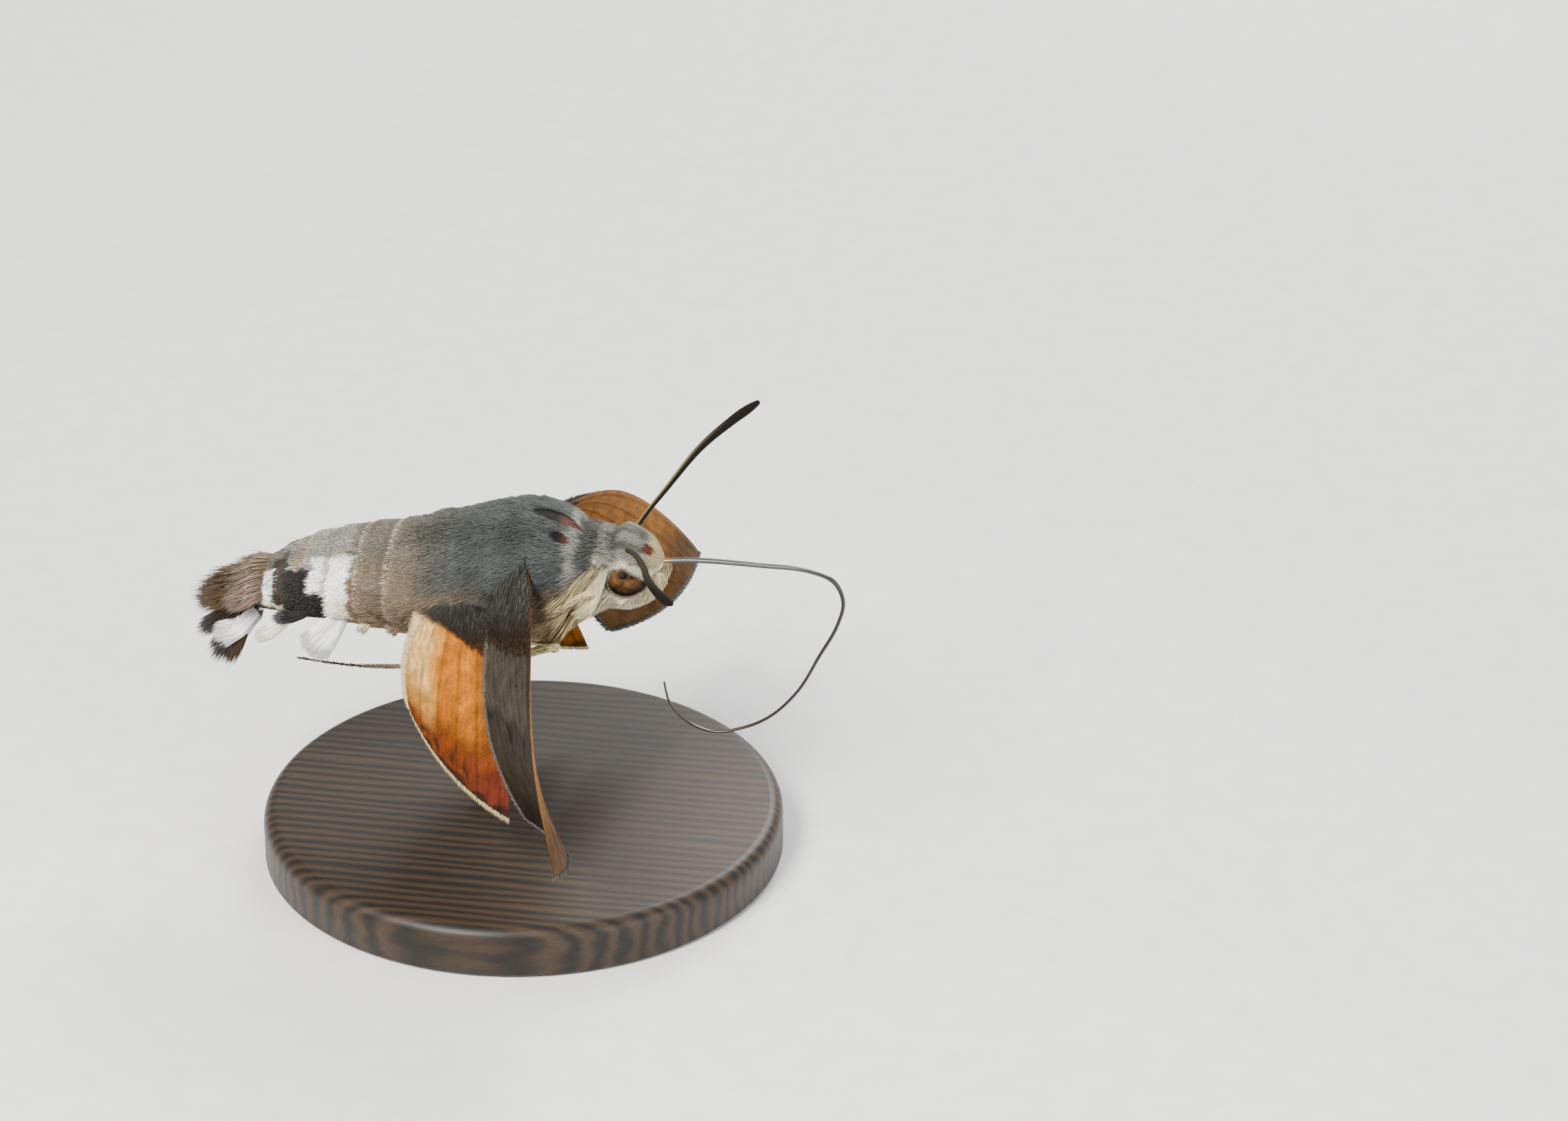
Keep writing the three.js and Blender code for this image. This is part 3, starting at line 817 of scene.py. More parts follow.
class TuftField:
    """Many tufts that become one piece: closed, tapered blades of three sides."""

    SINK = 0.06
    FLATNESS = 0.42

    def __init__(self, name: str, rings: int = 2) -> None:
        """Starts an empty field.

        Args:
            name: The piece's name.
            rings: Cross-sections of each tuft.
        """
        self.name = name
        self.rings = rings
        self.points: list[Array] = []
        self.tints: list[Array] = []
        self.places: list[Array] = []

    def add(
        self,
        paths: Array,
        outward: Array,
        width: Array,
        tint: Array,
        place: Array,
        blunt: float = 0.6,
        pale_tip: float = 1.12,
    ) -> None:
        """Adds tufts by their middle lines.

        Args:
            paths: One row of points for each tuft, from root to tip.
            outward: The way that each tuft's back faces.
            width: Each tuft's width.
            tint: Each tuft's colour.
            place: Where each root is on the unwrapped skin, from 0 to 1.
            blunt: Width left at the last ring.
            pale_tip: How much lighter the tips are painted, as painted light; the roots get painted
                shade.
        """
        heading = unit(np.gradient(paths, axis=1))
        across = unit(np.cross(outward[:, None], heading))
        back = np.cross(heading, across)
        shares = np.linspace(0.0, 1.0, self.rings + 1)
        body = np.interp(shares[:-1], [0.0, 0.35, 1.0], [0.6, 1.0, blunt])
        half = width[:, None] * body / 2
        sunk = paths[:, :-1]
        left = sunk - across[:, :-1] * half[..., None]
        right = sunk + across[:, :-1] * half[..., None]
        lower = back[:, :-1] * (half * self.FLATNESS)[..., None]
        corners = np.stack([left - lower, right - lower, sunk + 1.6 * lower], 2)
        flat = corners.reshape(len(paths), self.rings * 3, 3)
        self.points.append(np.concatenate([flat, paths[:, -1:]], 1))
        # Painted shade darkens each tuft towards its root, deep in the coat, and painted light
        # brightens its tip.
        root_shade_tip_light = np.repeat(np.interp(shares, [0.0, 0.5, 1.0], [0.72, 1.0, pale_tip]), 3)[:-2]
        self.tints.append(tint[:, None, :] * root_shade_tip_light[None, :, None])
        across_patch = np.append(np.tile([-0.5, 0.5, 0.0], self.rings), 0.0)
        patch = np.stack([across_patch, np.repeat(shares - 0.5, 3)[:-2]], -1)
        reach = 1.0 - BAKE_PATCH
        rooted = BAKE_PATCH / 2 + reach * np.clip(place, 0.0, 1.0)
        self.places.append(rooted[:, None, :] + 0.98 * BAKE_PATCH * patch[None])

    def lay(
        self,
        surface: Surface,
        along: Array,
        angle: Array,
        style: TuftStyle,
        colour: Callable[[Array, Array], Array],
        stretch: Pair,
        seed: int,
        grow: Any = 1.0,
        shade: float = 0.14,
        keep: Callable[[Array], Array] | None = None,
    ) -> None:
        """Lays tufts along the lie of a coat.

        Args:
            surface: What they grow on.
            along: Where each root is along the surface.
            angle: Where each root is round it.
            style: Their sizes.
            colour: Gives the coat's colour at places on the surface.
            stretch: The ends of the part of the surface that is unwrapped.
            seed: For the random draws.
            grow: Scales length and lift, for each tuft or for all.
            shade: How much lightness differs from tuft to tuft.
            keep: Picks the tufts that stay, from their paths.
        """
        draw = np.random.default_rng(seed)
        count = len(along)
        spots = surface.point(along, angle, 0.0)
        clump = ripple(spots, 0.8, seed + 1)
        slant = style.sweep * np.abs(np.cos(angle))
        slant = slant + style.scatter * (draw.normal(size=count) + 1.3 * clump)
        slant = np.radians(slant)
        length = style.length * grow * draw.uniform(0.72, 1.2, count)
        downward = np.where(np.cos(angle) < 0, 1.0, -1.0)
        girth = surface.girth(along)
        lift = style.lift * grow * draw.uniform(0.55, 1.15, count) * (1.0 + 0.2 * clump)
        steps = np.linspace(0.0, 1.0, self.rings + 1)
        paths = np.stack(
            [
                surface.point(
                    along - length * np.cos(slant) * s,
                    angle + downward * length * np.sin(slant) * s / girth,
                    lift * (1.0 - (1.0 - s) ** 2) - self.SINK * (1.0 - s) ** 2,
                )
                for s in steps
            ],
            1,
        )
        outward = unit(surface.point(along, angle, 1.0) - spots)
        width = style.width * draw.uniform(0.75, 1.25, count)
        tint = colour(along, angle)
        tint = tint * np.exp(shade * draw.normal(size=count))[:, None]
        round_share = np.mod(angle / (2.0 * math.pi), 1.0)
        place = np.stack([(along - stretch[0]) / (stretch[1] - stretch[0]), round_share], -1)
        rows = slice(None) if keep is None else keep(paths)
        kept = (part[rows] for part in (paths, outward, width, tint, place))
        self.add(*kept, style.blunt)

    def build(self) -> Piece:
        """Makes the piece of all tufts that were added."""
        points = np.concatenate(self.points)
        tints = np.concatenate(self.tints)
        places = np.concatenate(self.places)
        count, corners = points.shape[:2]
        faces = [
            (3 * k + c, 3 * k + (c + 1) % 3, 3 * k + 3 + (c + 1) % 3, 3 * k + 3 + c)
            for k in range(self.rings - 1)
            for c in range(3)
        ]
        last = 3 * (self.rings - 1)
        faces += [(last + c, last + (c + 1) % 3, corners - 1) for c in range(3)]
        faces.append((2, 1, 0))
        triangles = count * sum(len(face) - 2 for face in faces)
        if triangles >= COAT_LIMIT:
            raise ValueError(f"{self.name} has {triangles} triangles")
        one = np.concatenate([np.array(face) for face in faces])
        sizes = np.tile([len(face) for face in faces], count)
        loops = (one[None, :] + corners * np.arange(count)[:, None]).ravel()
        mesh = bpy.data.meshes.new(self.name)
        mesh.vertices.add(count * corners)
        mesh.vertices.foreach_set("co", (points * MM).astype(np.float32).ravel())
        mesh.loops.add(len(loops))
        mesh.loops.foreach_set("vertex_index", loops.astype(np.int32))
        mesh.polygons.add(len(sizes))
        starts = np.concatenate([[0], np.cumsum(sizes)[:-1]])
        mesh.polygons.foreach_set("loop_start", starts.astype(np.int32))
        mesh.polygons.foreach_set("use_smooth", np.ones(len(sizes), bool))
        mesh.update(calc_edges=True)
        layer = mesh.uv_layers.new(name=BAKE_MAP)
        rows = places.reshape(-1, 2)[loops]
        layer.data.foreach_set("uv", rows.astype(np.float32).ravel())
        piece = bpy.data.objects.new(self.name, mesh)
        bpy.context.scene.collection.objects.link(piece)
        put_tint(piece, tints.reshape(-1, 3))
        LOG.info("%s: %d tufts, %d triangles", self.name, count, triangles)
        return piece


def scattered(
    surface: Surface,
    along: Pair,
    angle: Pair,
    spacing: float,
    seed: int,
) -> tuple[Array, Array]:
    """Spreads roots evenly over a part of a surface.

    Args:
        surface: What they are on.
        along: Ends of the part.
        angle: Edges of the part, in degrees round it.
        spacing: Distance between roots, in millimetres.
        seed: For the random draws.

    Returns:
        Place along and angle round for each root.
    """
    draw = np.random.default_rng(seed)
    rows = np.arange(along[0], along[1], spacing)
    low, high = np.radians(angle)
    places, angles = [], []
    for row in rows:
        girth = float(surface.girth(np.array([row]))[0])
        count = max(3, round(girth * (high - low) / spacing))
        angles.append(low + (high - low) * (np.arange(count) + draw.random(count)) / count)
        places.append(row + spacing * draw.random(count))
    return np.concatenate(places), np.concatenate(angles)


class NodeSheet:
    """A material and short calls that add nodes to it."""

    GLOSS = {
        "specular": "Specular IOR Level",
        "metallic": "Metallic",
        "coat": "Coat Weight",
        "coat_roughness": "Coat Roughness",
        "sheen": "Sheen Weight",
        "sheen_roughness": "Sheen Roughness",
    }

    def __init__(self, name: str) -> None:
        """Starts an empty material.

        Args:
            name: The material's name.
        """
        self.material = bpy.data.materials.new(name)
        self.material.use_nodes = True
        self.tree = self.material.node_tree
        self.tree.nodes.clear()

    def node(
        self, kind: str, sockets: dict[Any, Any] | None = None, **settings: Any
    ) -> bpy.types.Node:
        """Adds a node.

        Args:
            kind: Its type.
            sockets: A value or another node's output for each named input.
            **settings: Its own settings.

        Returns:
            The new node.
        """
        made = self.tree.nodes.new(kind)
        for key, value in settings.items():
            setattr(made, key, value)
        for key, value in (sockets or {}).items():
            if isinstance(value, Socket):
                self.tree.links.new(value, made.inputs[key])
            else:
                made.inputs[key].default_value = value
        return made

    def mix(self, first: Any, second: Any, share: Any, way: str = "MIX") -> Socket:
        """Mixes two colours."""
        made = self.node(
            "ShaderNodeMix",
            {0: share, 6: first, 7: second},
            data_type="RGBA",
            blend_type=way,
        )
        return made.outputs[2]

    def noise(self, vector: Any, scale: float, detail: float = 3.0) -> Socket:
        """Adds noise and gives its value's socket."""
        made = self.node("ShaderNodeTexNoise", {"Vector": vector, "Scale": scale, "Detail": detail})
        return made.outputs["Fac"]

    def spread(self, value: Any, low: float, high: float) -> Socket:
        """Maps a value from 0.3 to 0.7 onto another range, as a grey colour."""
        made = self.node(
            "ShaderNodeMapRange",
            {"Value": value, "From Min": 0.3, "From Max": 0.7, "To Min": low, "To Max": high},
        )
        return made.outputs["Result"]

    def object_space(self, stretch: Point = (1, 1, 1)) -> Socket:
        """Object coordinates, stretched."""
        place = self.node("ShaderNodeTexCoord").outputs["Object"]
        return self.node("ShaderNodeMapping", {"Vector": place, "Scale": stretch}).outputs["Vector"]

    def attribute(self, name: str, output: str = "Color") -> Socket:
        """A mesh attribute's socket."""
        return self.node("ShaderNodeAttribute", attribute_name=name).outputs[output]

    def bump(self, height: Any, distance: float, strength: float = 1.0) -> Socket:
        """Turns a height into a normal."""
        made = self.node(
            "ShaderNodeBump",
            {"Height": height, "Distance": distance * MM, "Strength": strength},
        )
        return made.outputs["Normal"]

    def tinted(self, level: Socket) -> Socket:
        """The piece's own colours, made lighter and darker by a level."""
        return self.mix(self.attribute(TINT), level, 1.0, "MULTIPLY")

    def finish(self, tint: Any, roughness: Any, normal: Any = None, **gloss: float) -> Material:
        """Ends the material in a principled shader.

        Args:
            tint: The base colour.
            roughness: The roughness.
            normal: The relief, where there is one.
            **gloss: More of the shader's inputs, by their short names.

        Returns:
            The material.
        """
        sockets = {"Base Color": tint, "Roughness": roughness}
        if normal is not None:
            sockets["Normal"] = normal
        sockets.update({self.GLOSS[word]: value for word, value in gloss.items()})
        shader = self.node("ShaderNodeBsdfPrincipled", sockets)
        self.node("ShaderNodeOutputMaterial", {"Surface": shader.outputs["BSDF"]})
        return self.material


@dataclass(frozen=True)
class CoatFinish:
    """Fur and scales: the coat's own colour, broken up finely, with a soft sheen."""

    name: str
    roughness: float = 0.65
    sheen: float = 0.06
    mottle: float = 0.12
    relief: float = 0.0

    def material(self) -> Material:
        """Makes the finish's material."""
        sheet = NodeSheet(self.name)
        fine = sheet.noise(sheet.object_space((1, 3, 3)), 4200.0)
        level = sheet.spread(fine, 1.0 - self.mottle, 1.0 + self.mottle)
        normal = sheet.bump(fine, self.relief) if self.relief else None
        gloss = {"specular": 0.18, "sheen": self.sheen, "sheen_roughness": 0.45}
        return sheet.finish(sheet.tinted(level), self.roughness, normal, **gloss)


@dataclass(frozen=True)
class WingFinish:
    """Wing scales: rows of tiny overlapping plates, each as long and wide as row."""

    name: str
    roughness: float = 0.52
    row: Pair = (0.13, 0.07)

    def material(self) -> Material:
        """Makes the finish's material."""
        sheet = NodeSheet(self.name)
        flow = sheet.attribute(FLOW, "Vector")
        scales = sheet.node(
            "ShaderNodeMapping",
            {"Vector": flow, "Scale": (1 / self.row[0], 1 / self.row[1], 1.0)},
        ).outputs["Vector"]
        cells = sheet.node(
            "ShaderNodeTexVoronoi", {"Vector": scales, "Scale": 1.0, "Randomness": 0.55}
        )
        grey = sheet.node("ShaderNodeRGBToBW", {"Color": cells.outputs["Color"]}).outputs["Val"]
        tint = sheet.tinted(sheet.spread(grey, 0.84, 1.14))
        cloud = sheet.spread(sheet.noise(flow, 1.6), 0.9, 1.1)
        tint = sheet.mix(tint, cloud, 1.0, "MULTIPLY")
        normal = sheet.bump(cells.outputs["Distance"], 0.012, 0.8)
        return sheet.finish(tint, self.roughness, normal, specular=0.1)


@dataclass(frozen=True)
class HornFinish:
    """Bare horn and cuticle: feelers, tongue and legs."""

    name: str
    roughness: float = 0.5
    metallic: float = 0.0
    coat: float = 0.0
    relief: float = 0.004
    specular: float = 0.5

    def material(self) -> Material:
        """Makes the finish's material."""
        sheet = NodeSheet(self.name)
        grain = sheet.noise(sheet.object_space(), 16000.0)
        tint = sheet.tinted(sheet.spread(grain, 0.85, 1.15))
        return sheet.finish(
            tint,
            self.roughness,
            sheet.bump(grain, self.relief),
            metallic=self.metallic,
            specular=self.specular,
            coat=self.coat,
            coat_roughness=0.2,
        )


@dataclass(frozen=True)
class EyeFinish:
    """A compound eye: fine facets under a clear gloss."""

    name: str = "eye_gloss"
    facet: float = 0.035
    roughness: float = 0.7

    def material(self) -> Material:
        """Makes the finish's material."""
        sheet = NodeSheet(self.name)
        place = sheet.object_space()
        cells = sheet.node(
            "ShaderNodeTexVoronoi",
            {"Vector": place, "Scale": 1 / (self.facet * MM), "Randomness": 0.25},
        )
        tint = sheet.tinted(sheet.spread(sheet.noise(place, 3500.0), 0.7, 1.35))
        normal = sheet.bump(cells.outputs["Distance"], 0.006, 0.6)
        gloss = {"specular": 0.05, "coat": 0.02, "coat_roughness": 0.15}
        return sheet.finish(tint, self.roughness, normal, **gloss)


@dataclass(frozen=True)
class WoodFinish:
    """Dark stained wood with a satin varnish."""

    name: str = "stand_walnut"
    roughness: float = 0.5

    def material(self) -> Material:
        """Makes the finish's material."""
        sheet = NodeSheet(self.name)
        place = sheet.object_space((1.0, 9.0, 9.0))
        rings = sheet.node(
            "ShaderNodeTexWave",
            {"Vector": place, "Scale": 45.0, "Distortion": 5.0, "Detail": 3.0, "Detail Scale": 1.5},
            bands_direction="Y",
        ).outputs["Fac"]
        pores = sheet.noise(sheet.object_space((1.0, 16.0, 16.0)), 900.0, 4.0)
        tint = sheet.mix((*Hue.SOOT.light, 1.0), (*(Hue.UMBER.light * 1.6), 1.0), rings)
        tint = sheet.mix(tint, sheet.spread(pores, 0.7, 1.15), 1.0, "MULTIPLY")
        gloss = {"specular": 0.3, "coat": 0.08, "coat_roughness": 0.3}
        return sheet.finish(tint, self.roughness, sheet.bump(pores, 0.02, 0.5), **gloss)


@dataclass(frozen=True)
class SteelFinish:
    """Brushed steel, with its scratches round the rod."""

    name: str = "stand_steel"

    def material(self) -> Material:
        """Makes the finish's material."""
        sheet = NodeSheet(self.name)
        lines = sheet.noise(sheet.object_space((1.0, 1.0, 24.0)), 1500.0, 4.0)
        shade = sheet.spread(lines, 0.42, 0.62)
        roughness = sheet.spread(lines, 0.22, 0.4)
        return sheet.finish(shade, roughness, sheet.bump(lines, 0.006, 0.5), metallic=1.0)


class Finish(Enum):
    """The finishes of the moth and its stand."""

    SKIN = CoatFinish("body_skin", 0.7, 0.04, 0.2, relief=0.03)
    COAT = CoatFinish("body_fur")
    PALE = CoatFinish("pale_fur", 0.6, 0.08, 0.05)
    TAIL = CoatFinish("tail_scales", 0.55, 0.05, 0.2)
    FRINGE = CoatFinish("wing_fringe", 0.6, 0.05, 0.1)
    FOREWING = WingFinish("forewing_scales")
    HINDWING = WingFinish("hindwing_scales", 0.48)
    EYE = EyeFinish()
    FEELER = HornFinish("feeler_horn", 0.7, specular=0.08)
    TONGUE = HornFinish("tongue_horn", 0.3, 0.3, 0.4, 0.002)
    LEG = HornFinish("leg_horn", 0.6, specular=0.25)
    WOOD = WoodFinish()
    STEEL = SteelFinish()


@cache
def material_of(finish: Finish) -> Material:
    """The material of a finish, made once."""
    return finish.value.material()


def settle(piece: Piece, slot: str, finish: Finish, *nodes: str) -> None:
    """Dresses a finished piece, fixes it to the body and hides the solids that it replaces.

    Args:
        piece: The piece.
        slot: Not used.
        finish: What it is dressed in.
        *nodes: The solids that it replaces.
    """
    piece.data.materials.append(material_of(finish))
    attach(piece, BODY)
    if nodes:
        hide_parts(*nodes)
    LOG.info("%s: %d faces", piece.name, len(piece.data.polygons))


@dataclass(frozen=True)
class Skin:
    """The bare body under the coat, in one closed piece, painted darker than the coat as painted
    shade deep in the fur.
    """

    trunk: Trunk
    markings: Markings
    eyes: EyeShape
    sides: int = 112
    rings: int = 210
    fur_shade: float = 0.7

    def place(self, share: Array, angle: Array) -> Array:
        """Gives the skin's points.

        Args:
            share: Place along it, from 0 to 1.
            angle: Angle round it.

        Returns:
            The points, in millimetres.
        """
        eased = 0.75 * share + 0.25 * (1.0 - np.cos(math.pi * share)) / 2
        along = self.trunk.tail + (self.trunk.face - self.trunk.tail) * eased
        return self.trunk.point(along, angle, 0.0)

    def build(self) -> None:
        """Makes and dresses the skin."""
        piece, share, angle = shaped_ball("body_skin", self.sides, self.rings, self.place)
        along, _, height = self.place(share, angle).T
        above = height - (float(THORAX_CENTRE[2]) + self.eyes.rise)
        rim = self.eyes.reach(along - self.eyes.along, above)
        # Painted shade: the coat's colours, darkened where the skin shows deep between the tufts.
        tint = self.fur_shade * self.markings.colour(along, angle)
        tint = mixed(tint, Hue.UMBER, 0.8 * ramp(rim, 1.3, 1.1) * (along > 5.2))
        put_tint(piece, self.markings.bare(along, angle, tint))
        flesh = ("head", "thorax", "abdomen_front", "abdomen_rear")
        settle(piece, "body_fur", Finish.SKIN, *flesh)


@dataclass(frozen=True)
class CoatPatch:
    """A part of the body's coat with tufts of one kind.

    Attributes:
        name: The piece's name.
        along: Its rear and front end.
        angle: Its edges round the body, in degrees.
        spacing: Distance between roots.
        style: Sizes of its tufts.
        seed: For its random draws.
        shade: How much lightness differs from tuft to tuft.
        short: Scale of the tufts at the rear end and at the front end.
        blend: How far from each end the tufts reach their full size.
        fade: How far the patch thins out at its rear end.
    """

    name: str
    along: Pair
    angle: Pair
    spacing: float
    style: TuftStyle
    seed: int
    shade: float = 0.14
    short: Pair = (1.0, 1.0)
    blend: float = 2.5
    fade: float = 0.0

    def roots(self, trunk: Trunk) -> tuple[Array, Array]:
        """Spreads the roots of the patch's tufts.

        Args:
            trunk: The body's shape.

        Returns:
            Place along and angle round for each root.
        """
        along, angle = scattered(trunk, self.along, self.angle, self.spacing, self.seed)
        if not self.fade:
            return along, angle
        draw = np.random.default_rng(self.seed + 100)
        stray = self.fade * 0.2 * np.sin(5.0 * angle)
        share = ramp(along + stray, self.along[0], self.along[0] + self.fade)
        kept = draw.random(len(along)) < share
        return along[kept], angle[kept]

    def growth(self, along: Array) -> Array:
        """Scale of the tufts at each place along the body."""
        scale = np.ones_like(along)
        for end, inward, least in zip(self.along, (self.blend, -self.blend), self.short):
            scale = scale * (least + (1.0 - least) * ramp(along, end, end + inward))
        return scale


def thorax_patch(name: str, angle: Pair, seed: int) -> CoatPatch:
    """A strip of the thorax's long fur, which thins out over the belly."""
    style = TuftStyle(0.85, 0.05, 0.22, 16.0, 7.0)
    return CoatPatch(name, (-6.8, 4.0), angle, 0.08, style, seed, 0.11, (0.5, 0.8), 3.0, 3.6)


BELLY_SCALES = TuftStyle(0.5, 0.08, 0.08, 5.0, 7.0, 0.75)


@dataclass(frozen=True)
class Coat:
    """Fur and scales over the whole body, which leave the eyes and the bare spots clear.

    Places round the body are measured from an axis that lies SPOT_AXIS above the thorax centre.
    """

    SPOT_AXIS: ClassVar[float] = 0.27

    trunk: Trunk
    markings: Markings
    eyes: EyeShape
    patches: tuple[CoatPatch, ...] = (
        thorax_patch("coat_back", (24, 156), 21),
        thorax_patch("coat_right", (156, 270), 22),
        thorax_patch("coat_left", (-90, 24), 23),
        CoatPatch(
            "coat_breast", (0.4, 5.0), (192, 348), 0.13,
            TuftStyle(2.1, 0.075, 0.5, 40.0, 7.0), 28, 0.3,
        ),
        CoatPatch("coat_collar", (3.7, 5.9), (0, 360), 0.075, TuftStyle(0.6, 0.05, 0.18, 10.0), 24),
        CoatPatch(
            "coat_chin", (4.5, 7.1), (190, 350), 0.1, TuftStyle(1.15, 0.05, 0.4, 26.0, 9.0), 29, 0.2
        ),
        CoatPatch(
            "coat_head", (5.75, 8.45), (0, 360), 0.06, TuftStyle(0.36, 0.042, 0.13, 16.0, 12.0), 25,
            short=(1.0, 0.6),
        ),
        CoatPatch("coat_belly_front", (-9.2, -3.2), (0, 360), 0.098, BELLY_SCALES, 26),
        CoatPatch("coat_belly_rear", (-16.2, -8.6), (0, 360), 0.092, BELLY_SCALES, 27),
    )

    def kept(self, paths: Array) -> Array:
        """Keeps the tufts that leave the eyes and the bare spots clear.

        Args:
            paths: The tufts' middle lines.

        Returns:
            True for those that stay.
        """
        crossing = self.eyes.inside(paths[:, 1:]).any(1) | self.eyes.inside(paths[:, 0], 0.85)
        away = paths - THORAX_CENTRE
        turn = np.degrees(np.arctan2(away[..., 2] - self.SPOT_AXIS, away[..., 1]))
        for spot in self.markings.spots:
            crossing |= (spot.reach(away[..., 0], turn) < 1.0)[:, :2].any(1)
        return ~crossing

    def build(self) -> None:
        """Makes every part of the coat."""
        for patch in self.patches:
            rooted = patch.roots(self.trunk)
            tufts = TuftField(patch.name)
            tufts.lay(
                self.trunk,
                *rooted,
                patch.style,
                self.markings.colour,
                patch.along,
                patch.seed,
                grow=patch.growth(rooted[0]),
                shade=patch.shade,
                keep=self.kept,
            )
            settle(tufts.build(), "body_fur", Finish.COAT)


@dataclass(frozen=True)
class Eye:
    """One compound eye.

    Each dark spot has its turn and rise from the gaze, its size in degrees and its strength.
    """

    RIM_HAIRS: ClassVar[int] = 7600
    RIM_HAIR: ClassVar[float] = 0.2

    side: Side
    shape: EyeShape
    gaze: Point = (0.0, 0.82, 0.6)
    spots: tuple[tuple[Pair, float, float], ...] = (
        ((0.0, 0.0), 15.0, 1.0),
        ((-0.02, -0.46), 9.0, 0.7),
        ((0.42, -0.06), 10.0, 0.8),
    )

    def build(self) -> None:
        """Makes and dresses the eye."""
        shape = self.shape
        centre = THORAX_CENTRE + (shape.along, self.side.value * shape.aside, shape.rise)

        def place(share: Array, angle: Array) -> Array:
            tilt = math.pi * (1.0 - share)
            ball = [np.sin(tilt) * np.cos(angle), np.sin(tilt) * np.sin(angle), np.cos(tilt)]
            return centre + np.array(shape.half_axes) * np.stack(ball, -1)

        name = "eye_" + self.side.word
        piece, share, angle = shaped_ball(name + "_ball", 72, 48, place)
        facing = unit((place(share, angle) - centre) / shape.half_axes)
        gaze = unit(np.array(self.gaze) * (1.0, self.side.value, 1.0))
        apart = np.degrees(np.arccos(np.clip(facing @ gaze, -1.0, 1.0)))
        cloud = ripple(facing, 0.7, 31)
        tint = painted(
            Hue.EYE,
            (Hue.EYE.light * 0.4, ramp(cloud, -0.4, 1.4)),
            (Hue.EYE.light * 1.9, ramp(np.abs(apart - 27.0), 11.0, 3.0) * 0.6),
            (Hue.EYE_DARK.light * 2.0, 0.85 * ramp(apart, 42.0, 70.0)),
        )
        for (turn, rise), size, strength in self.spots:
            spot = unit(gaze + np.array([turn, 0.0, rise]))
            away = np.degrees(np.arccos(np.clip(facing @ spot, -1.0, 1.0)))
            tint = mixed(tint, Hue.EYE_DARK, strength * ramp(away, size, size * 0.6))
        put_tint(piece, tint)
        settle(piece, "eye", Finish.EYE, name)
        settle(self.rim(name + "_rim_fur", centre), "body_fur", Finish.COAT)

    def rim(self, name: str, centre: Array) -> Piece:
        """Makes the short fur that lies over the eye's edge and leaves its opening.

        Args:
            name: The piece's name.
            centre: Of the eye.

        Returns:
            The new piece.
        """
        shape = self.shape
        draw = np.random.default_rng(35)
        way = unit(draw.normal(size=(self.RIM_HAIRS, 3)))
        way[:, 1] = np.abs(way[:, 1]) * self.side.value
        axes = np.array(shape.half_axes)
        out = shape.reach(way[:, 0] * axes[0], way[:, 2] * axes[2])
        outside = (out > 1.02) & (np.abs(way[:, 1]) > 0.1)
        way, out = way[outside], out[outside]
        count = len(way)
        outward = unit(way / axes)
        lie = np.array([-1.0, 0.0, -0.25]) + draw.normal(0.0, 0.2, (count, 3))
        lie = unit(lie - outward * (lie * outward).sum(-1, keepdims=True))
        length = self.RIM_HAIR * draw.uniform(0.7, 1.2, count)
        root = centre + way * axes
        paths = np.stack(
            [
                root + lie * (length * s)[:, None] + outward * (0.1 * s - 0.04 * (1 - s))
                for s in (0.0, 0.5, 1.0)
            ],
            1,
        )
        away = paths[:, 1:] - centre
        clear = shape.reach(away[..., 0], away[..., 2]).min(1) > 0.97
        tint = painted(
            Hue.IVORY,
            (Hue.PALE_ASH, draw.random(count) ** 2),
            (Hue.ASH, 0.6 * ramp(way[:, 2], 0.2, 0.7)),
            (Hue.UMBER, 0.8 * ramp(out, 1.22, 1.06)),
        )
        place = 0.5 + 0.5 * way[:, ::2]
        tufts = TuftField(name)
        width = 0.05 * draw.uniform(0.8, 1.2, count)
        tufts.add(paths[clear], outward[clear], width[clear], tint[clear], place[clear])
        return tufts.build()


@dataclass(frozen=True)
class Feeler:
    """One feeler: ringed, thickest near its end, with a narrowed point.

    The bends are offsets from the root: forward, outward and up. The pale share is what is left
    of the stripe along its upper side.
    """

    side: Side
    root: Point
    bends: tuple[Point, ...]
    root_radius: float = 0.12
    club_radius: float = 0.28
    club_at: float = 0.88
    tip_radius: float = 0.12
    ring: float = 0.15
    pale: float = 0.8

    def radius(self, share: Array) -> Array:
        """Its radius at shares of its length."""
        swell = self.root_radius + (self.club_radius - self.root_radius) * (
            np.clip(share / self.club_at, 0.0, 1.0) ** 1.3
        )
        past = np.clip((share - self.club_at) / (1.0 - self.club_at), 0.0, 1.0)
        return swell - (swell - self.tip_radius) * past**2.2

    def tube(self) -> Tube:
        """The feeler's shape."""
        along, aside, rise = self.root
        sign = self.side.value
        points = [(0.0, 0.0, 0.0), *self.bends]
        route = Route([(along + f, sign * (aside + o), rise + u) for f, o, u in points])
        count = route.length / self.ring

        def ringed(share: Array) -> Array:
            wave = np.abs(np.sin(math.pi * np.clip(share, 0.0, 1.0) * count))
            return self.radius(share) * (0.94 + 0.06 * wave)

        return Tube(route, ringed, ringed)

    def build(self) -> None:
        """Makes and dresses the feeler."""
        tube = self.tube()
        rings = int(tube.route.length / self.ring * 4)
        name = "antenna_" + self.side.word
        piece, share, angle = tube.piece(name + "_horn", 20, rings)
        dark = mixed(Hue.HORN, Hue.SOOT, ramp(share, 0.35, 0.85))
        stripe = ramp(np.sin(angle), 0.2, 0.9) * ramp(share, 0.85, 0.35)
        put_tint(piece, mixed(dark, Hue.HORN_PALE, self.pale * stripe))
        settle(piece, "feeler", Finish.FEELER, name)


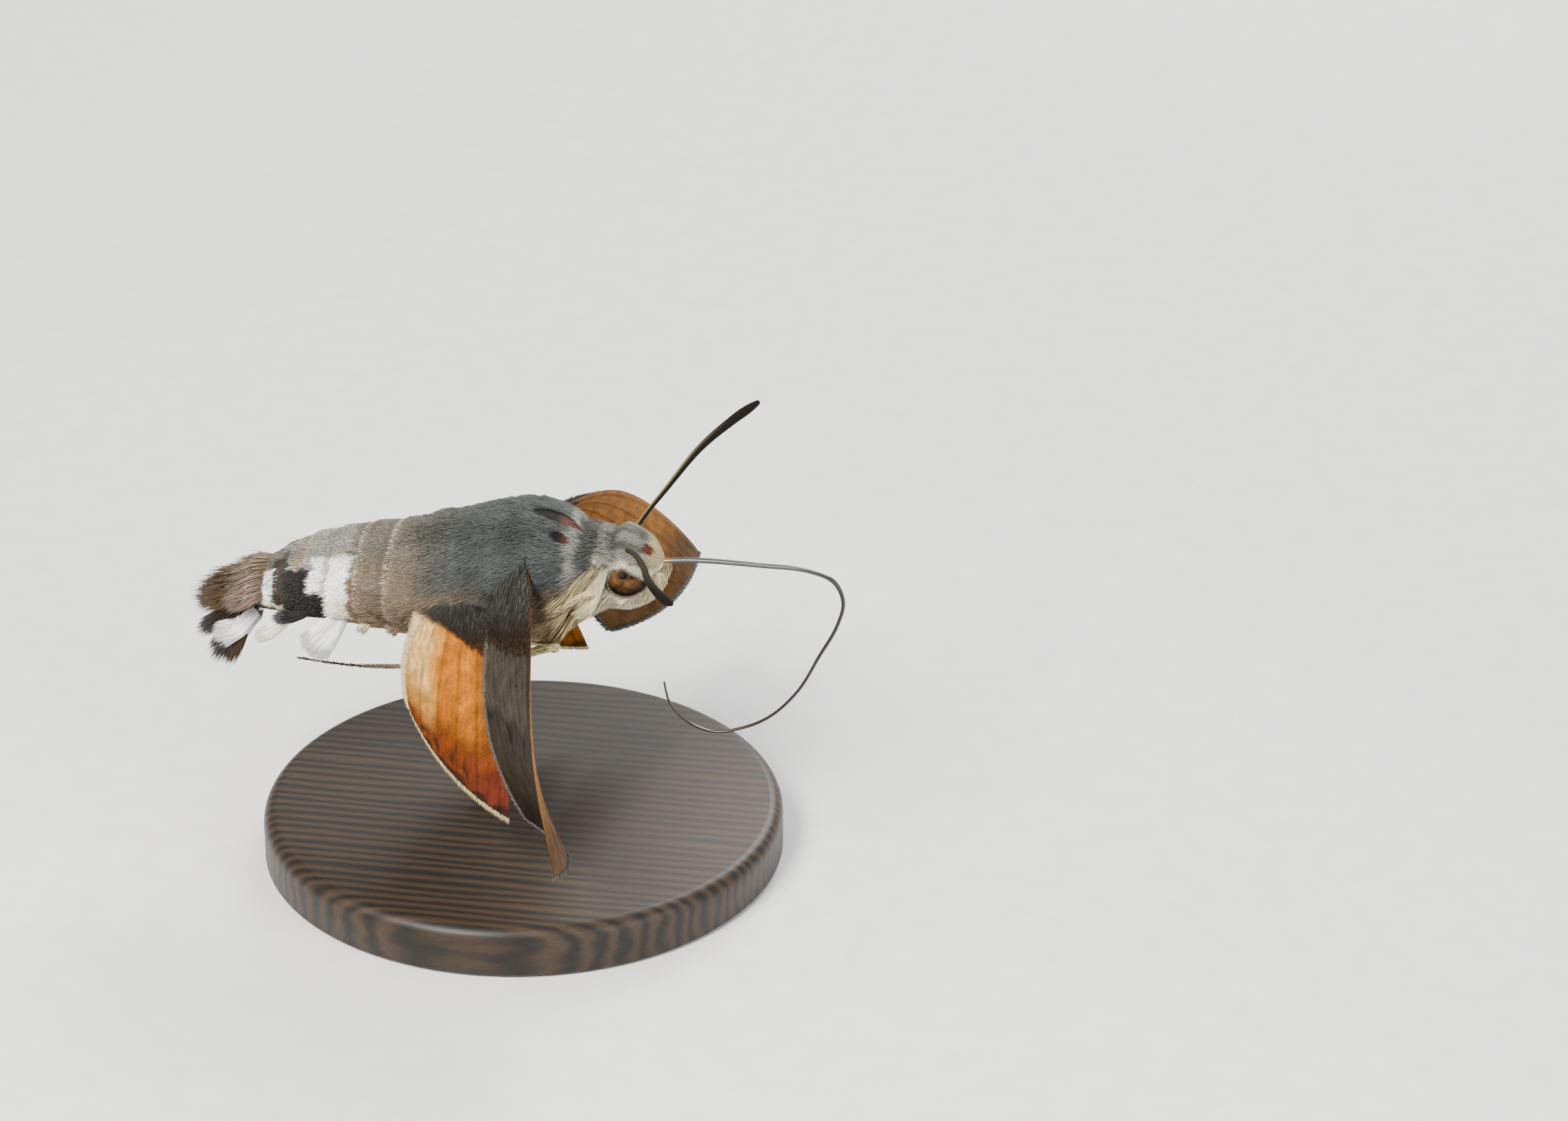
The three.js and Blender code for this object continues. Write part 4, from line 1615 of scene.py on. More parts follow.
@dataclass(frozen=True)
class Tongue:
    """The long tongue: two half tubes, grooved and finely ringed, in the middle plane."""

    route: tuple[Pair, ...] = (
        (7.9, 1.12), (10.3, 1.36), (13.9, 1.36), (16.7, 1.25), (18.1, 0.7), (18.65, -0.5),
        (18.3, -2.1), (17.3, -4.1), (16.1, -6.4), (14.5, -8.2), (12.9, -9.1), (11.1, -9.5),
        (9.7, -9.0), (8.7, -7.9), (8.35, -6.5),
    )
    root_radius: float = 0.17
    tip_radius: float = 0.07
    ring: float = 0.12

    def build(self) -> None:
        """Makes and dresses the tongue."""
        route = Route([(x, 0.0, z) for x, z in self.route])
        count = route.length / self.ring

        def radius(share: Array) -> Array:
            plain = self.root_radius + (self.tip_radius - self.root_radius) * share**1.1
            wave = np.abs(np.sin(math.pi * share * count))
            return plain * (0.98 + 0.02 * wave)

        tube = Tube(route, lambda s: 1.08 * radius(s), lambda s: 0.92 * radius(s))
        rings = int(count * 3)

        def place(share: Array, angle: Array) -> Array:
            along = share * route.length
            middle = route.at(along)[0]
            seam = 1.0 - 0.2 * np.exp(-((np.cos(angle) / 0.28) ** 2))
            left = (closing(share, 0.004, 0.004) * seam)[:, None]
            return middle + (tube.point(along, angle, 0.0) - middle) * left

        piece, share, _ = shaped_ball("tongue_horn", 20, rings, place)
        root = (Hue.STEEL_GREY, ramp(share, 0.01, 0.04))
        middle = (Hue.HORN, ramp(share, 0.26, 0.4))
        end = (Hue.UMBER, 0.7 * ramp(share, 0.4, 0.8))
        put_tint(piece, painted(Hue.AMBER, root, middle, end))
        parts = ["tongue_" + part for part in ("root", "knee", "mid", "curl", "tip")]
        settle(piece, "tongue", Finish.TONGUE, *parts)


@dataclass(frozen=True)
class Palp:
    """One palp: a furry pad that wraps the face from below."""

    side: Side
    route: tuple[Point, ...] = (
        (5.6, 1.0, -1.2), (6.7, 0.95, -0.9), (7.55, 0.85, -0.45), (8.1, 0.76, 0.15),
        (8.35, 0.7, 0.8),
    )
    half_width: float = 0.52
    half_depth: float = 0.56

    def swelling(self, share: Array) -> Array:
        """Its thickness at shares of its length, against the thickest."""
        arch = np.sin(math.pi * (0.03 + 0.8 * np.clip(share, 0.0, 1.0)))
        return 0.42 + 0.58 * np.abs(arch) ** 0.8

    def build(self) -> None:
        """Makes and dresses the palp and its fur."""
        sign = self.side.value
        route = Route([(x, sign * y, z) for x, y, z in self.route])
        tube = Tube(
            route,
            lambda s: self.half_width * self.swelling(s) - 0.06,
            lambda s: self.half_depth * self.swelling(s) - 0.06,
        )
        name = "palp_" + self.side.word
        piece, _, _ = tube.piece(name + "_pad", 28, 36)
        count = len(piece.data.vertices)
        # Painted shade: the pad under the fur is the cream darkened, as deep in the fur.
        put_tint(piece, np.tile(Hue.CREAM.light * 0.7, (count, 1)))
        settle(piece, "pale_fur", Finish.SKIN, name)

        def colour(along: Array, angle: Array) -> Array:
            share = along / route.length
            tint = mixed(Hue.IVORY, Hue.CREAM, ramp(share, 0.2, 0.9))
            return mixed(tint, Hue.ROSE_TAN, 0.4 * ramp(share, 0.8, 1.0))

        rooted = scattered(tube, (0.05, route.length - 0.1), (0, 360), 0.068, 41)
        tufts = TuftField(name + "_fur")
        style = TuftStyle(0.5, 0.045, 0.16, 18.0, 16.0)
        tufts.lay(tube, *rooted, style, colour, (0.0, route.length), 42, shade=0.12)
        settle(tufts.build(), "pale_fur", Finish.PALE)


@dataclass(frozen=True)
class Leg:
    """One leg: joints of thigh, shin and foot, clad in scales.

    The joints have along, aside and rise. The left leg is held closer under the belly by the
    tuck, and the slimness is the bare limb's thickness against the scaled one.
    """

    name: str
    side: Side
    joints: tuple[Point, ...]
    half_thickness: tuple[float, ...]
    hue: Hue
    tip_hue: Hue
    fur: float
    tuck: float = 0.0
    slimness: float = 0.42

    def route(self) -> Route:
        """The leg's middle line."""
        last = len(self.joints) - 1
        tuck = self.tuck if self.side is Side.LEFT else 0.0
        return Route(
            [
                (x, self.side.value * (y + tuck * i / last), z + tuck * min(1.0, i / 2))
                for i, (x, y, z) in enumerate(self.joints)
            ]
        )

    def build(self) -> None:
        """Makes and dresses the leg and its scales."""
        route = self.route()
        last = len(self.half_thickness) - 1
        table = np.array([(i / last, value) for i, value in enumerate(self.half_thickness)])

        def thickness(share: Array) -> Array:
            full = between(table, np.clip(share, 0.0, 1.0))[..., 0]
            foot = ramp(share, 0.62, 0.75)
            beads = 1.0 - 0.16 * foot * np.abs(np.cos(math.pi * share * 26.0)) ** 6
            return full * (self.slimness - 0.1 * foot) * beads

        tube = Tube(route, thickness, thickness)
        name = f"leg_{self.name}_{self.side.word}"
        piece, share, _ = tube.piece(name + "_limb", 18, 120)
        # Painted shade: the limb under the scales is their colour darkened, as deep between them.
        put_tint(piece, mixed(self.hue, self.tip_hue, ramp(share, 0.45, 0.8)) * 0.8)
        settle(piece, "leg", Finish.LEG, name)

        def colour(along: Array, angle: Array) -> Array:
            share = along / route.length
            tint = mixed(self.hue, self.tip_hue, ramp(share, 0.45, 0.8))
            streak = ripple(np.stack([3.0 * np.cos(angle), 3.0 * np.sin(angle)], -1), 1.6, 51)
            return tint * np.clip(1.0 + 0.35 * streak, 0.4, 1.5)[..., None]

        rooted = scattered(tube, (0.1, 0.97 * route.length), (0, 360), 0.08, 52)
        tufts = TuftField(name + "_scales")
        style = TuftStyle(-self.fur, 0.05, 0.05 + 0.08 * self.fur, 0.0, 1.8)
        tufts.lay(tube, *rooted, style, colour, (0.0, route.length), 53, shade=0.2)
        settle(tufts.build(), "leg", Finish.PALE)


def leaning(heading: Array, lean: Array) -> Array:
    """Directions on the flat wing, each turned to its left by a slope."""
    return unit(heading + lean * np.stack([-heading[:, 1], heading[:, 0]], -1))


class WingKind(Enum):
    """The two pairs of wings."""

    FORE = "forewing"
    HIND = "hindwing"


@dataclass(frozen=True)
class WingPose:
    """How one wing is held in this instant of its beat.

    Attributes:
        sweep: Forward turn of the wing, in degrees.
        droop: Downward slope at the root and at the tip.
        twist: Turn about the wing's own length at the root and at the tip.
    """

    sweep: float
    droop: Pair
    twist: Pair


@dataclass(frozen=True)
class WingShape:
    """A wing's outline in its own plane, outward and forward, and how it is held on each side.

    The pulls bend the leading edge, the outer margin and the inner edge. The veins are places
    across the wing, from front to back.
    """

    root: Point
    length: float
    root_front: Pair
    root_back: Pair
    costa_pull: Pair
    apex: Pair
    margin_pull: Pair
    tornus: Pair
    inner_pull: Pair
    poses: dict[Side, WingPose]
    veins: tuple[float, ...]

    @staticmethod
    def _arc(start: Any, pull: Any, end: Any, t: Array) -> Array:
        """Points of an arc pulled towards a point, at shares of the way."""
        t = t[..., None]
        bent = (1 - t) ** 2 * np.array(start) + 2 * t * (1 - t) * np.array(pull)
        return bent + t**2 * np.array(end)

    def outline(self, u: Array, v: Array) -> Array:
        """Finds points of the flat wing.

        Args:
            u: Share of the way from the root to the outer margin.
            v: Share of the way from the leading to the inner edge.

        Returns:
            Outward and forward place of each point, in millimetres.
        """
        front, back = np.array(self.root_front), np.array(self.root_back)
        apex, tornus = np.array(self.apex), np.array(self.tornus)
        costa = self._arc(front, self.costa_pull, apex, u)
        inner = self._arc(back, self.inner_pull, tornus, u)
        margin = self._arc(apex, self.margin_pull, tornus, v)
        a, b = u[..., None], v[..., None]
        front_corners = front * (1 - a) * (1 - b) + apex * a * (1 - b)
        corners = front_corners + back * (1 - a) * b + tornus * a * b
        root = front * (1 - b) + back * b
        return costa * (1 - b) + inner * b + root * (1 - a) + margin * a - corners

    def place(self, side: Side, out: Array, forward: Array, lift: Any) -> Array:
        """Puts points of the flat wing in space.

        Args:
            side: Which wing it is.
            out: Distance along the wing.
            forward: Distance towards the leading edge.
            lift: Height over the wing's middle plane, upper side positive.

        Returns:
            The points, in millimetres.
        """
        sign = side.value
        pose = self.poses[side]
        sweep = math.radians(pose.sweep)
        start = math.radians(pose.droop[0])
        bend = math.radians(pose.droop[1] - pose.droop[0]) / self.length
        droop = start + bend * out
        reach = (np.sin(droop) - math.sin(start)) / bend
        drop = (math.cos(start) - np.cos(droop)) / bend
        outward = np.array([math.sin(sweep), sign * math.cos(sweep), 0.0])
        ahead = np.array([math.cos(sweep), -sign * math.sin(sweep), 0.0])
        up = outward * np.sin(droop)[..., None]
        up = up + np.array([0.0, 0.0, 1.0]) * np.cos(droop)[..., None]
        turn = pose.twist[0] + (pose.twist[1] - pose.twist[0]) * ramp(out, 0.0, self.length)
        turn = np.radians(turn)[..., None]
        chord = ahead * np.cos(turn) + up * np.sin(turn)
        face = up * np.cos(turn) - ahead * np.sin(turn)
        along, aside, rise = self.root
        root = THORAX_CENTRE + np.array([along, sign * aside, rise])
        return (
            root
            + outward * reach[..., None]
            - np.array([0.0, 0.0, 1.0]) * drop[..., None]
            + chord * forward[..., None]
            + face * np.asarray(lift)[..., None]
        )

    def over(self, side: Side, u: Array, v: Array, lift: Any) -> Array:
        """Points over the wing at shares of its outline."""
        flat = self.outline(u, v)
        return self.place(side, flat[..., 0], flat[..., 1], lift)


WING_SHAPES = {
    WingKind.FORE: WingShape(
        root=(0.4, 2.7, 1.53),
        length=20.0,
        root_front=(0.0, 0.9),
        root_back=(0.0, -0.93),
        costa_pull=(9.2, 1.4),
        apex=(20.0, -1.6),
        margin_pull=(17.4, -5.4),
        tornus=(12.1, -7.8),
        inner_pull=(4.8, -2.3),
        poses={
            Side.LEFT: WingPose(20.0, (6.5, 42.0), (42.0, 115.0)),
            Side.RIGHT: WingPose(17.0, (25.0, 29.0), (41.0, 115.0)),
        },
        veins=(0.05, 0.2, 0.36, 0.52, 0.68, 0.84),
    ),
    WingKind.HIND: WingShape(
        root=(-1.5, 2.7, 0.5),
        length=13.6,
        root_front=(0.0, 0.2),
        root_back=(0.0, -1.6),
        costa_pull=(7.0, 0.6),
        apex=(13.6, -0.6),
        margin_pull=(11.0, -4.4),
        tornus=(6.6, -5.4),
        inner_pull=(2.6, -5.6),
        poses={
            Side.LEFT: WingPose(26.0, (49.0, 53.0), (24.0, 42.0)),
            Side.RIGHT: WingPose(27.0, (56.0, 59.0), (24.0, 40.0)),
        },
        veins=(0.06, 0.25, 0.44, 0.63, 0.82),
    ),
}


@dataclass(frozen=True)
class Wing:
    """One wing: a thin sheet with raised veins, painted scales and a fringe.

    Each row of root hair has the sign of the wing's side, the number of hairs and their reach.
    """

    MARGIN_SCALES: ClassVar[int] = 2100
    INNER_SCALES: ClassVar[int] = 1300
    SHOULDER_HAIRS: ClassVar[int] = 1200
    ROOT_HAIR: ClassVar[Sequence[tuple[float, int, float]]] = ((1.0, 2900, 0.32), (-1.0, 700, 0.2))

    kind: WingKind
    side: Side
    half_thickness: float = 0.07
    vein_raise: float = 0.06
    vein_width: float = 0.09
    steps: tuple[int, int] = (84, 120)

    @property
    def shape(self) -> WingShape:
        """The wing's outline and pose."""
        return WING_SHAPES[self.kind]

    def ridges(self, u: Array, v: Array) -> Array:
        """Height of the veins over the membrane, as a share of the full height.

        Args:
            u: Share of the way to the outer margin.
            v: Share of the way to the inner edge.

        Returns:
            From 0 between veins to 1 on them.
        """
        shape = self.shape
        chord = np.linalg.norm(
            shape.outline(u, np.ones_like(u)) - shape.outline(u, np.zeros_like(u)), axis=-1
        )
        high = np.zeros_like(u)
        for vein in shape.veins:
            away = (v - vein) * chord / self.vein_width
            high = np.maximum(high, np.exp(-(away**2)))
        for a, b in zip(shape.veins, shape.veins[1:]):
            fork = (a + b) / 2
            away = (v - fork) * chord / (0.6 * self.vein_width)
            high = np.maximum(high, 0.45 * np.exp(-(away**2)) * ramp(u, 0.45, 0.55))
        return high * ramp(1.0 - u, 0.0, 0.06)

    def tint(self, u: Array, v: Array, upper: Array) -> Array:
        """The wing's colours.

        Args:
            u: Share of the way to the outer margin.
            v: Share of the way to the inner edge.
            upper: 1 on the upper side and 0 below.

        Returns:
            Linear colours, one row each.
        """
        spots = self.shape.outline(u, v)
        stray = 0.02 * ripple(spots, 2.2, 61)
        painters = {WingKind.FORE: self.fore_tint, WingKind.HIND: self.hind_tint}
        tint = painters[self.kind](u + stray, v + stray, upper)
        cloud = 1.0 + 0.14 * ripple(spots, 1.4, 62) + 0.1 * ripple(spots * (0.4, 1.0), 0.4, 63)
        tint = tint * np.clip(cloud, 0.55, 1.45)[..., None]
        return mixed(tint, tint * 0.62, self.ridges(u, v) * 0.8)

    @staticmethod
    def fore_tint(u: Array, v: Array, upper: Array) -> Array:
        """Colours of a forewing: grey-brown with dark lines above, rust-brown below."""
        wavy = 0.03 * np.sin(v * 21.0)
        near, far = (np.exp(-(((u - place - wavy) / 0.016) ** 2)) for place in (0.3, 0.62))
        dot = np.exp(-(((u - 0.46) / 0.018) ** 2) - (((v - 0.36) / 0.03) ** 2))
        above = painted(
            Hue.GREY_BROWN,
            (Hue.BROWN, 0.7 * ramp(u, 0.45, 0.1)),
            (Hue.BLACK, 0.85 * near),
            (Hue.BLACK, 0.8 * far),
            (Hue.ASH.light * 0.6, 0.25 * band(u, 0.36, 0.56, 0.08)),
            (Hue.BLACK, 0.9 * dot),
            (Hue.SOOT, 0.75 * ramp(u, 0.78, 0.98)),
            (Hue.SOOT, 0.6 * ramp(v, 0.14, 0.02)),
        )
        below = painted(
            Hue.UNDER_BROWN,
            (Hue.ORANGE.light * 0.8, 0.7 * ramp(u, 0.9, 0.2)),
            (Hue.BROWN, 0.85 * ramp(u, 0.7, 0.95)),
            (Hue.APRICOT.light * 0.8, 0.6 * ramp(u, 0.2, 0.02) * ramp(v, 0.3, 0.9)),
        )
        return mixed(below, above, upper)

    @staticmethod
    def hind_tint(u: Array, v: Array, upper: Array) -> Array:
        """Colours of a hindwing: orange with a dark border, and pale streaks by the body."""
        gold = band(v, 0.35, 0.75, 0.2) * band(u, 0.2, 0.62, 0.2)
        streaks = []
        for place, width in ((0.78, 0.035), (0.87, 0.03), (0.95, 0.035)):
            away = (v - place - 0.05 * np.sin(u * 5.0)) / width
            streaks.append((Hue.CREAM, 0.75 * (np.exp(-(away**2)) * band(u, 0.1, 0.62, 0.14))))
        inner = band(v, 0.72, 1.0, 0.12) * band(u, 0.08, 0.75, 0.2)
        blots = 0.5 + 0.5 * np.sin(v * 31.0) * np.sin(v * 12.0 + 1.0)
        inland = np.exp(-(((u - 0.915 - 0.015 * np.sin(v * 24.0)) / 0.022) ** 2))
        above = painted(
            Hue.ORANGE,
            (Hue.BURNT_ORANGE, 0.85 * ramp(u, 0.5, 0.95)),
            (Hue.AMBER.light * 1.15, 0.5 * gold),
            (Hue.BURNT_ORANGE, 0.7 * ramp(v, 0.22, 0.02)),
            (Hue.RUST, 0.75 * ramp(u, 0.72, 0.95) * ramp(v, 0.5, 0.15)),
            (Hue.UMBER, 0.85 * ramp(u, 0.2, 0.04)),
            *streaks,
            (Hue.APRICOT, 0.5 * inner),
            (Hue.SOOT, 0.8 * ramp(u, 0.958, 0.972)),
            (Hue.SOOT, 0.85 * inland * ramp(blots, 0.35, 0.75) * ramp(v, 0.1, 0.4)),
        )
        below = painted(
            Hue.UNDER_BROWN.light * 1.1,
            (Hue.ORANGE.light * 0.8, 0.6),
            (Hue.APRICOT, 0.7 * ramp(v, 0.6, 0.95) * ramp(u, 0.8, 0.3)),
            (Hue.BROWN, 0.75 * ramp(u, 0.86, 0.98)),
        )
        return mixed(below, above, upper)

    def build(self) -> None:
        """Makes and dresses the wing and its fringe."""
        form = bmesh.new()
        bmesh.ops.create_grid(form, x_segments=self.steps[0], y_segments=self.steps[1], size=0.5)
        made = bmesh.ops.extrude_face_region(form, geom=list(form.faces), use_keep_orig=True)
        lower = {item for item in made["geom"] if isinstance(item, bmesh.types.BMVert)}
        flat = np.array([vert.co[:2] for vert in form.verts])
        upper = np.array([0.0 if vert in lower else 1.0 for vert in form.verts])
        u, v = flat[:, 0] + 0.5, flat[:, 1] + 0.5
        inset = 0.02 + 0.98 * u
        rim = np.minimum.reduce([inset, 1.0 - inset, v, 1.0 - v])
        high = self.half_thickness * (0.35 + 0.65 * ramp(rim, 0.0, 0.02))
        high = high + self.vein_raise * self.ridges(inset, v)
        spots = self.shape.over(self.side, inset, v, high * (2.0 * upper - 1.0))
        for vert, spot in zip(form.verts, spots):
            vert.co = spot
        name = f"{self.kind.value}_{self.side.word}"
        piece = piece_from(form, name + "_sheet")
        put_tint(piece, self.tint(inset, v, upper))
        flow = self.shape.outline(inset, v)
        put_flow(piece, np.column_stack([flow, upper * 3.0]))
        slot = self.kind.value + "_scales"
        settle(piece, slot, Finish[self.kind.value.upper()], name)
        settle(self.fringe(name + "_fringe"), slot, Finish.FRINGE)

    def fringe(self, name: str) -> Piece:
        """Makes the fringe of fine scales along the outer and inner edge, and the hair at the root.

        Args:
            name: The piece's name.

        Returns:
            The new piece.
        """
        draw = np.random.default_rng(71)
        tufts = TuftField(name)
        hind = self.kind is WingKind.HIND
        inner_length = 0.6 if hind else 0.45
        rows = ((False, self.MARGIN_SCALES, 0.36), (True, self.INNER_SCALES, inner_length))
        for inner, count, length in rows:
            way = draw.random(count)
            ones = np.ones(count)
            u, v = (way, ones) if inner else (ones, way)
            u = np.clip(u, 0.05, 1.0)
            back = (u, v - 0.04) if inner else (u - 0.04, v)
            edge = self.shape.outline(u, v)
            heading = unit(edge - self.shape.outline(*back))
            lean = draw.normal(0.0, 0.14, count)[:, None]
            heading = leaning(heading, lean)
            size = length * draw.uniform(0.75, 1.15, count)
            if inner:
                size = size * (1.0 + (1.0 if hind else 0.3) * ramp(u, 0.5, 0.1))
            start = edge - heading * 0.14
            lift = draw.uniform(-1.0, 1.0, count) * self.half_thickness * 0.6
            base = self.tint(u, v, ones)
            pale = Hue.CREAM.light if hind else Hue.PALE_ASH.light * 0.55
            dotted = 0.5 + 0.5 * np.sin(way * 2.0 * math.pi * 22.0)
            mottled = dotted if hind and not inner else draw.random(count)
            share = (0.9 if hind else 0.5) * (0.75 + 0.25 * mottled)
            tint = mixed(base, pale, share)
            place = np.stack([way, 0.25 + 0.5 * inner * ones], -1)
            rise = (lift, draw.normal(0.0, 0.05, count))
            self.strands(tufts, start, heading, size, rise, tint, place, 0.065)
        self.base_hair(tufts, draw)
        return tufts.build()

    def strands(
        self,
        tufts: TuftField,
        start: Array,
        heading: Array,
        size: Array,
        rise: tuple[Array, Array],
        tint: Array,
        place: Array,
        width: float = 0.05,
    ) -> None:
        """Lays strands along the wing.

        Args:
            tufts: The field that takes them.
            start: Their roots on the flat wing.
            heading: Their way on the flat wing.
            size: Their lengths.
            rise: Their height over the middle plane at the root, and what the tip adds.
            tint: Their colours.
            place: Where their roots are on the unwrapped wing.
            width: Of one strand.
        """
        paths = []
        for s in (0.0, 0.5, 1.0):
            flat = start + heading * (size * s)[:, None]
            high = rise[0] + rise[1] * (1.0 - (1.0 - s) ** 2)
            paths.append(self.shape.place(self.side, *flat.T, high))
        ones = np.ones(len(start))
        face = self.shape.place(self.side, *start.T, ones)
        face = face - self.shape.place(self.side, *start.T, 0.0 * ones)
        tufts.add(np.stack(paths, 1), face, width * ones, tint, place, 0.7, 1.15)

    def base_hair(self, tufts: TuftField, draw: np.random.Generator) -> None:
        """Lays the long hair that runs from the body over the wing's root.

        Args:
            tufts: The field that takes it.
            draw: For the random draws.
        """
        hind = self.kind is WingKind.HIND
        far = Hue.ORANGE.light * 0.7 if hind else Hue.SOOT.light
        self.shoulder_hair(tufts, draw)
        for way, count, reach in self.ROOT_HAIR:
            v = draw.random(count) ** 1.2
            reach = reach * (1.0 - 0.55 * v) if hind else reach * np.ones(count)
            u = 0.02 + reach * draw.random(count) ** 1.3
            flat = self.shape.outline(u, v)
            ahead = self.shape.outline(u + 0.05, v)
            heading = unit(ahead - flat)
            lean = (draw.normal(-0.12, 0.16, count) - 0.16 * ramp(v, 0.25, 0.0))[:, None]
            heading = leaning(heading, lean)
            thin = ramp(u, 1.1 * reach, 0.3 * reach)
            size = (0.6 + 1.5 * thin) * draw.uniform(0.7, 1.1, count) * ramp(v, -0.3, 0.3)
            root = way * self.half_thickness * np.ones(count)
            tip = way * (0.08 + 0.22 * thin) * draw.uniform(0.3, 1.0, count)
            grey = mixed(Hue.UMBER, Hue.BLUE_GREY.light * 0.9, draw.random(count))
            brown = mixed(Hue.BROWN, far, 0.7 * draw.random(count))
            tint = mixed(brown, grey, ramp(u, 0.9 * reach, 0.35 * reach))
            tint = tint * np.exp(0.2 * draw.normal(size=count))[:, None]
            place = np.stack([u, 0.5 + 0.5 * v], -1)
            self.strands(tufts, flat, heading, size, (root, tip), tint, place, 0.06)

    def shoulder_hair(self, tufts: TuftField, draw: np.random.Generator) -> None:
        """Lays the hair that grows on the body round the wing's root and runs onto the wing.

        Args:
            tufts: The field that takes it.
            draw: For the random draws.
        """
        count = self.SHOULDER_HAIRS
        u = draw.uniform(-0.06, 0.02, count)
        v = draw.uniform(-0.1, 1.35, count)
        flat = self.shape.outline(u, v)
        lean = draw.normal(-0.3, 0.16, count)
        heading = np.stack([np.cos(lean), np.sin(lean)], -1)
        size = 2.3 * ramp(v, -0.5, 0.5) * ramp(v, 2.0, 0.8) * draw.uniform(0.6, 1.1, count)
        root = 0.1 + 0.25 * draw.random(count)
        tip = draw.uniform(-0.1, 0.15, count)
        tint = mixed(Hue.SLATE, Hue.BLUE_GREY, draw.random(count))
        tint = mixed(tint, Hue.TAN, 0.4 * draw.random(count) * ramp(v, 0.3, 1.0))
        place = np.stack([0.5 + u, 0.5 + 0.2 * v], -1)
        self.strands(tufts, flat, heading, size, (root, tip), tint, place, 0.055)


@dataclass(frozen=True)
class Spray:
    """A tuft of long scales that fan out from one place.

    Attributes:
        root: Along, aside and rise of its root.
        aim: Where its middle scale ends.
        fan: How far its ends spread along the body.
        depth: How far its ends spread across.
        count: Number of scales.
        hue: Colour of its scales.
        tip: Colour of their ends.
        width: Of one scale.
        bow: How far the scales sag on their way, against their length.
        ragged: How far the roots are scattered along the way, as a share of it.
    """

    root: Point
    aim: Point
    fan: float
    depth: float
    count: int
    hue: Hue
    tip: Hue
    width: float = 0.08
    bow: float = 0.12
    ragged: float = 0.0

    def grow(self, tufts: TuftField, side: Side, seed: int) -> None:
        """Adds the spray's scales to a field.

        Args:
            tufts: The field.
            side: Which side of the moth it is on.
            seed: For the random draws.
        """
        draw = np.random.default_rng(seed)
        mirror = np.array([1.0, side.value, 1.0])
        root = THORAX_CENTRE + np.array(self.root) * mirror
        aim = THORAX_CENTRE + np.array(self.aim) * mirror
        fan = draw.uniform(-1.0, 1.0, self.count)
        deep = draw.uniform(-1.0, 1.0, self.count)
        middle = aim - root
        across = np.array([1.0, 0.0, 0.0]) - unit(middle) * unit(middle)[0]
        across = unit(across)
        other = np.cross(unit(middle), across)
        spread = across * (self.fan * fan)[:, None] + other * (self.depth * deep)[:, None]
        reach = 1.0 - 0.18 * fan**2 - 0.12 * deep**2
        reach = reach * draw.uniform(0.8, 1.04, self.count)
        end = root + (middle + spread) * reach[:, None]
        start = root + 0.3 * spread
        start = start + (end - start) * (self.ragged * draw.random(self.count) ** 1.4)[:, None]
        bow = other * draw.normal(0.0, 0.08, self.count)[:, None]
        bow = bow + self.bow * np.linalg.norm(middle) * np.array([-0.1, 0.3 * side.value, -0.8])
        steps = np.linspace(0.0, 1.0, tufts.rings + 1)
        paths = np.stack(
            [start * (1 - s) + end * s + bow * (4 * s * (1 - s)) * 0.5 for s in steps], 1
        )
        outward = np.tile(other * side.value, (self.count, 1))
        shade = np.exp(0.12 * draw.normal(size=self.count))
        tint = mixed(self.hue, self.tip, draw.random(self.count))
        place = np.stack([0.5 + 0.4 * fan, 0.5 + 0.4 * deep], -1)
        width = self.width * draw.uniform(0.7, 1.3, self.count)
        tufts.add(paths, outward, width, tint * shade[:, None], place, 0.8, 1.1)


@dataclass(frozen=True)
class SideTufts:
    """The bright tufts that stick out from the belly's sides."""

    sprays: tuple[Spray, ...] = (
        Spray(
            (-9.7, 2.4, -2.7), (-11.6, 3.35, -4.9),
            1.3, 0.6, 1500, Hue.WHITE, Hue.WHITE, 0.12, 0.05,
        ),
        Spray(
            (-12.7, 1.9, -3.0), (-14.9, 2.6, -4.65),
            0.55, 0.5, 420, Hue.WHITE, Hue.IVORY, 0.08, 0.3,
        ),
        Spray(
            (-11.4, 2.6, -2.4), (-13.9, 2.5, -3.3), 0.5, 0.35, 420, Hue.BLACK, Hue.SOOT, 0.09, 0.1
        ),
        Spray((-8.0, 2.6, -2.6), (-8.7, 3.0, -3.5), 0.45, 0.3, 160, Hue.PINK_TAN, Hue.IVORY, 0.05),
        Spray((-6.2, 2.8, -2.5), (-7.0, 3.1, -3.3), 0.6, 0.3, 160, Hue.TAN, Hue.PINK_TAN, 0.05),
        Spray(
            (5.0, 2.2, 1.5), (1.7, 4.3, -1.7),
            0.8, 0.35, 560, Hue.CREAM, Hue.TAN, 0.055, 0.14, 0.65,
        ),
        Spray(
            (5.5, 2.0, 1.4), (4.1, 3.8, -1.0),
            0.8, 0.3, 480, Hue.CREAM, Hue.IVORY, 0.055, 0.24, 0.65,
        ),
        Spray(
            (4.4, 2.5, 0.3), (2.2, 3.5, -2.9),
            0.9, 0.4, 480, Hue.GOLD_BROWN, Hue.CREAM, 0.055, 0.1, 0.6,
        ),
    )

    def build(self) -> None:
        """Makes the tufts of both sides."""
        for side in Side:
            tufts = TuftField("side_tufts_" + side.word, 3)
            for i, spray in enumerate(self.sprays):
                spray.grow(tufts, side, 81 + i)
            settle(tufts.build(), "pale_fur", Finish.PALE)


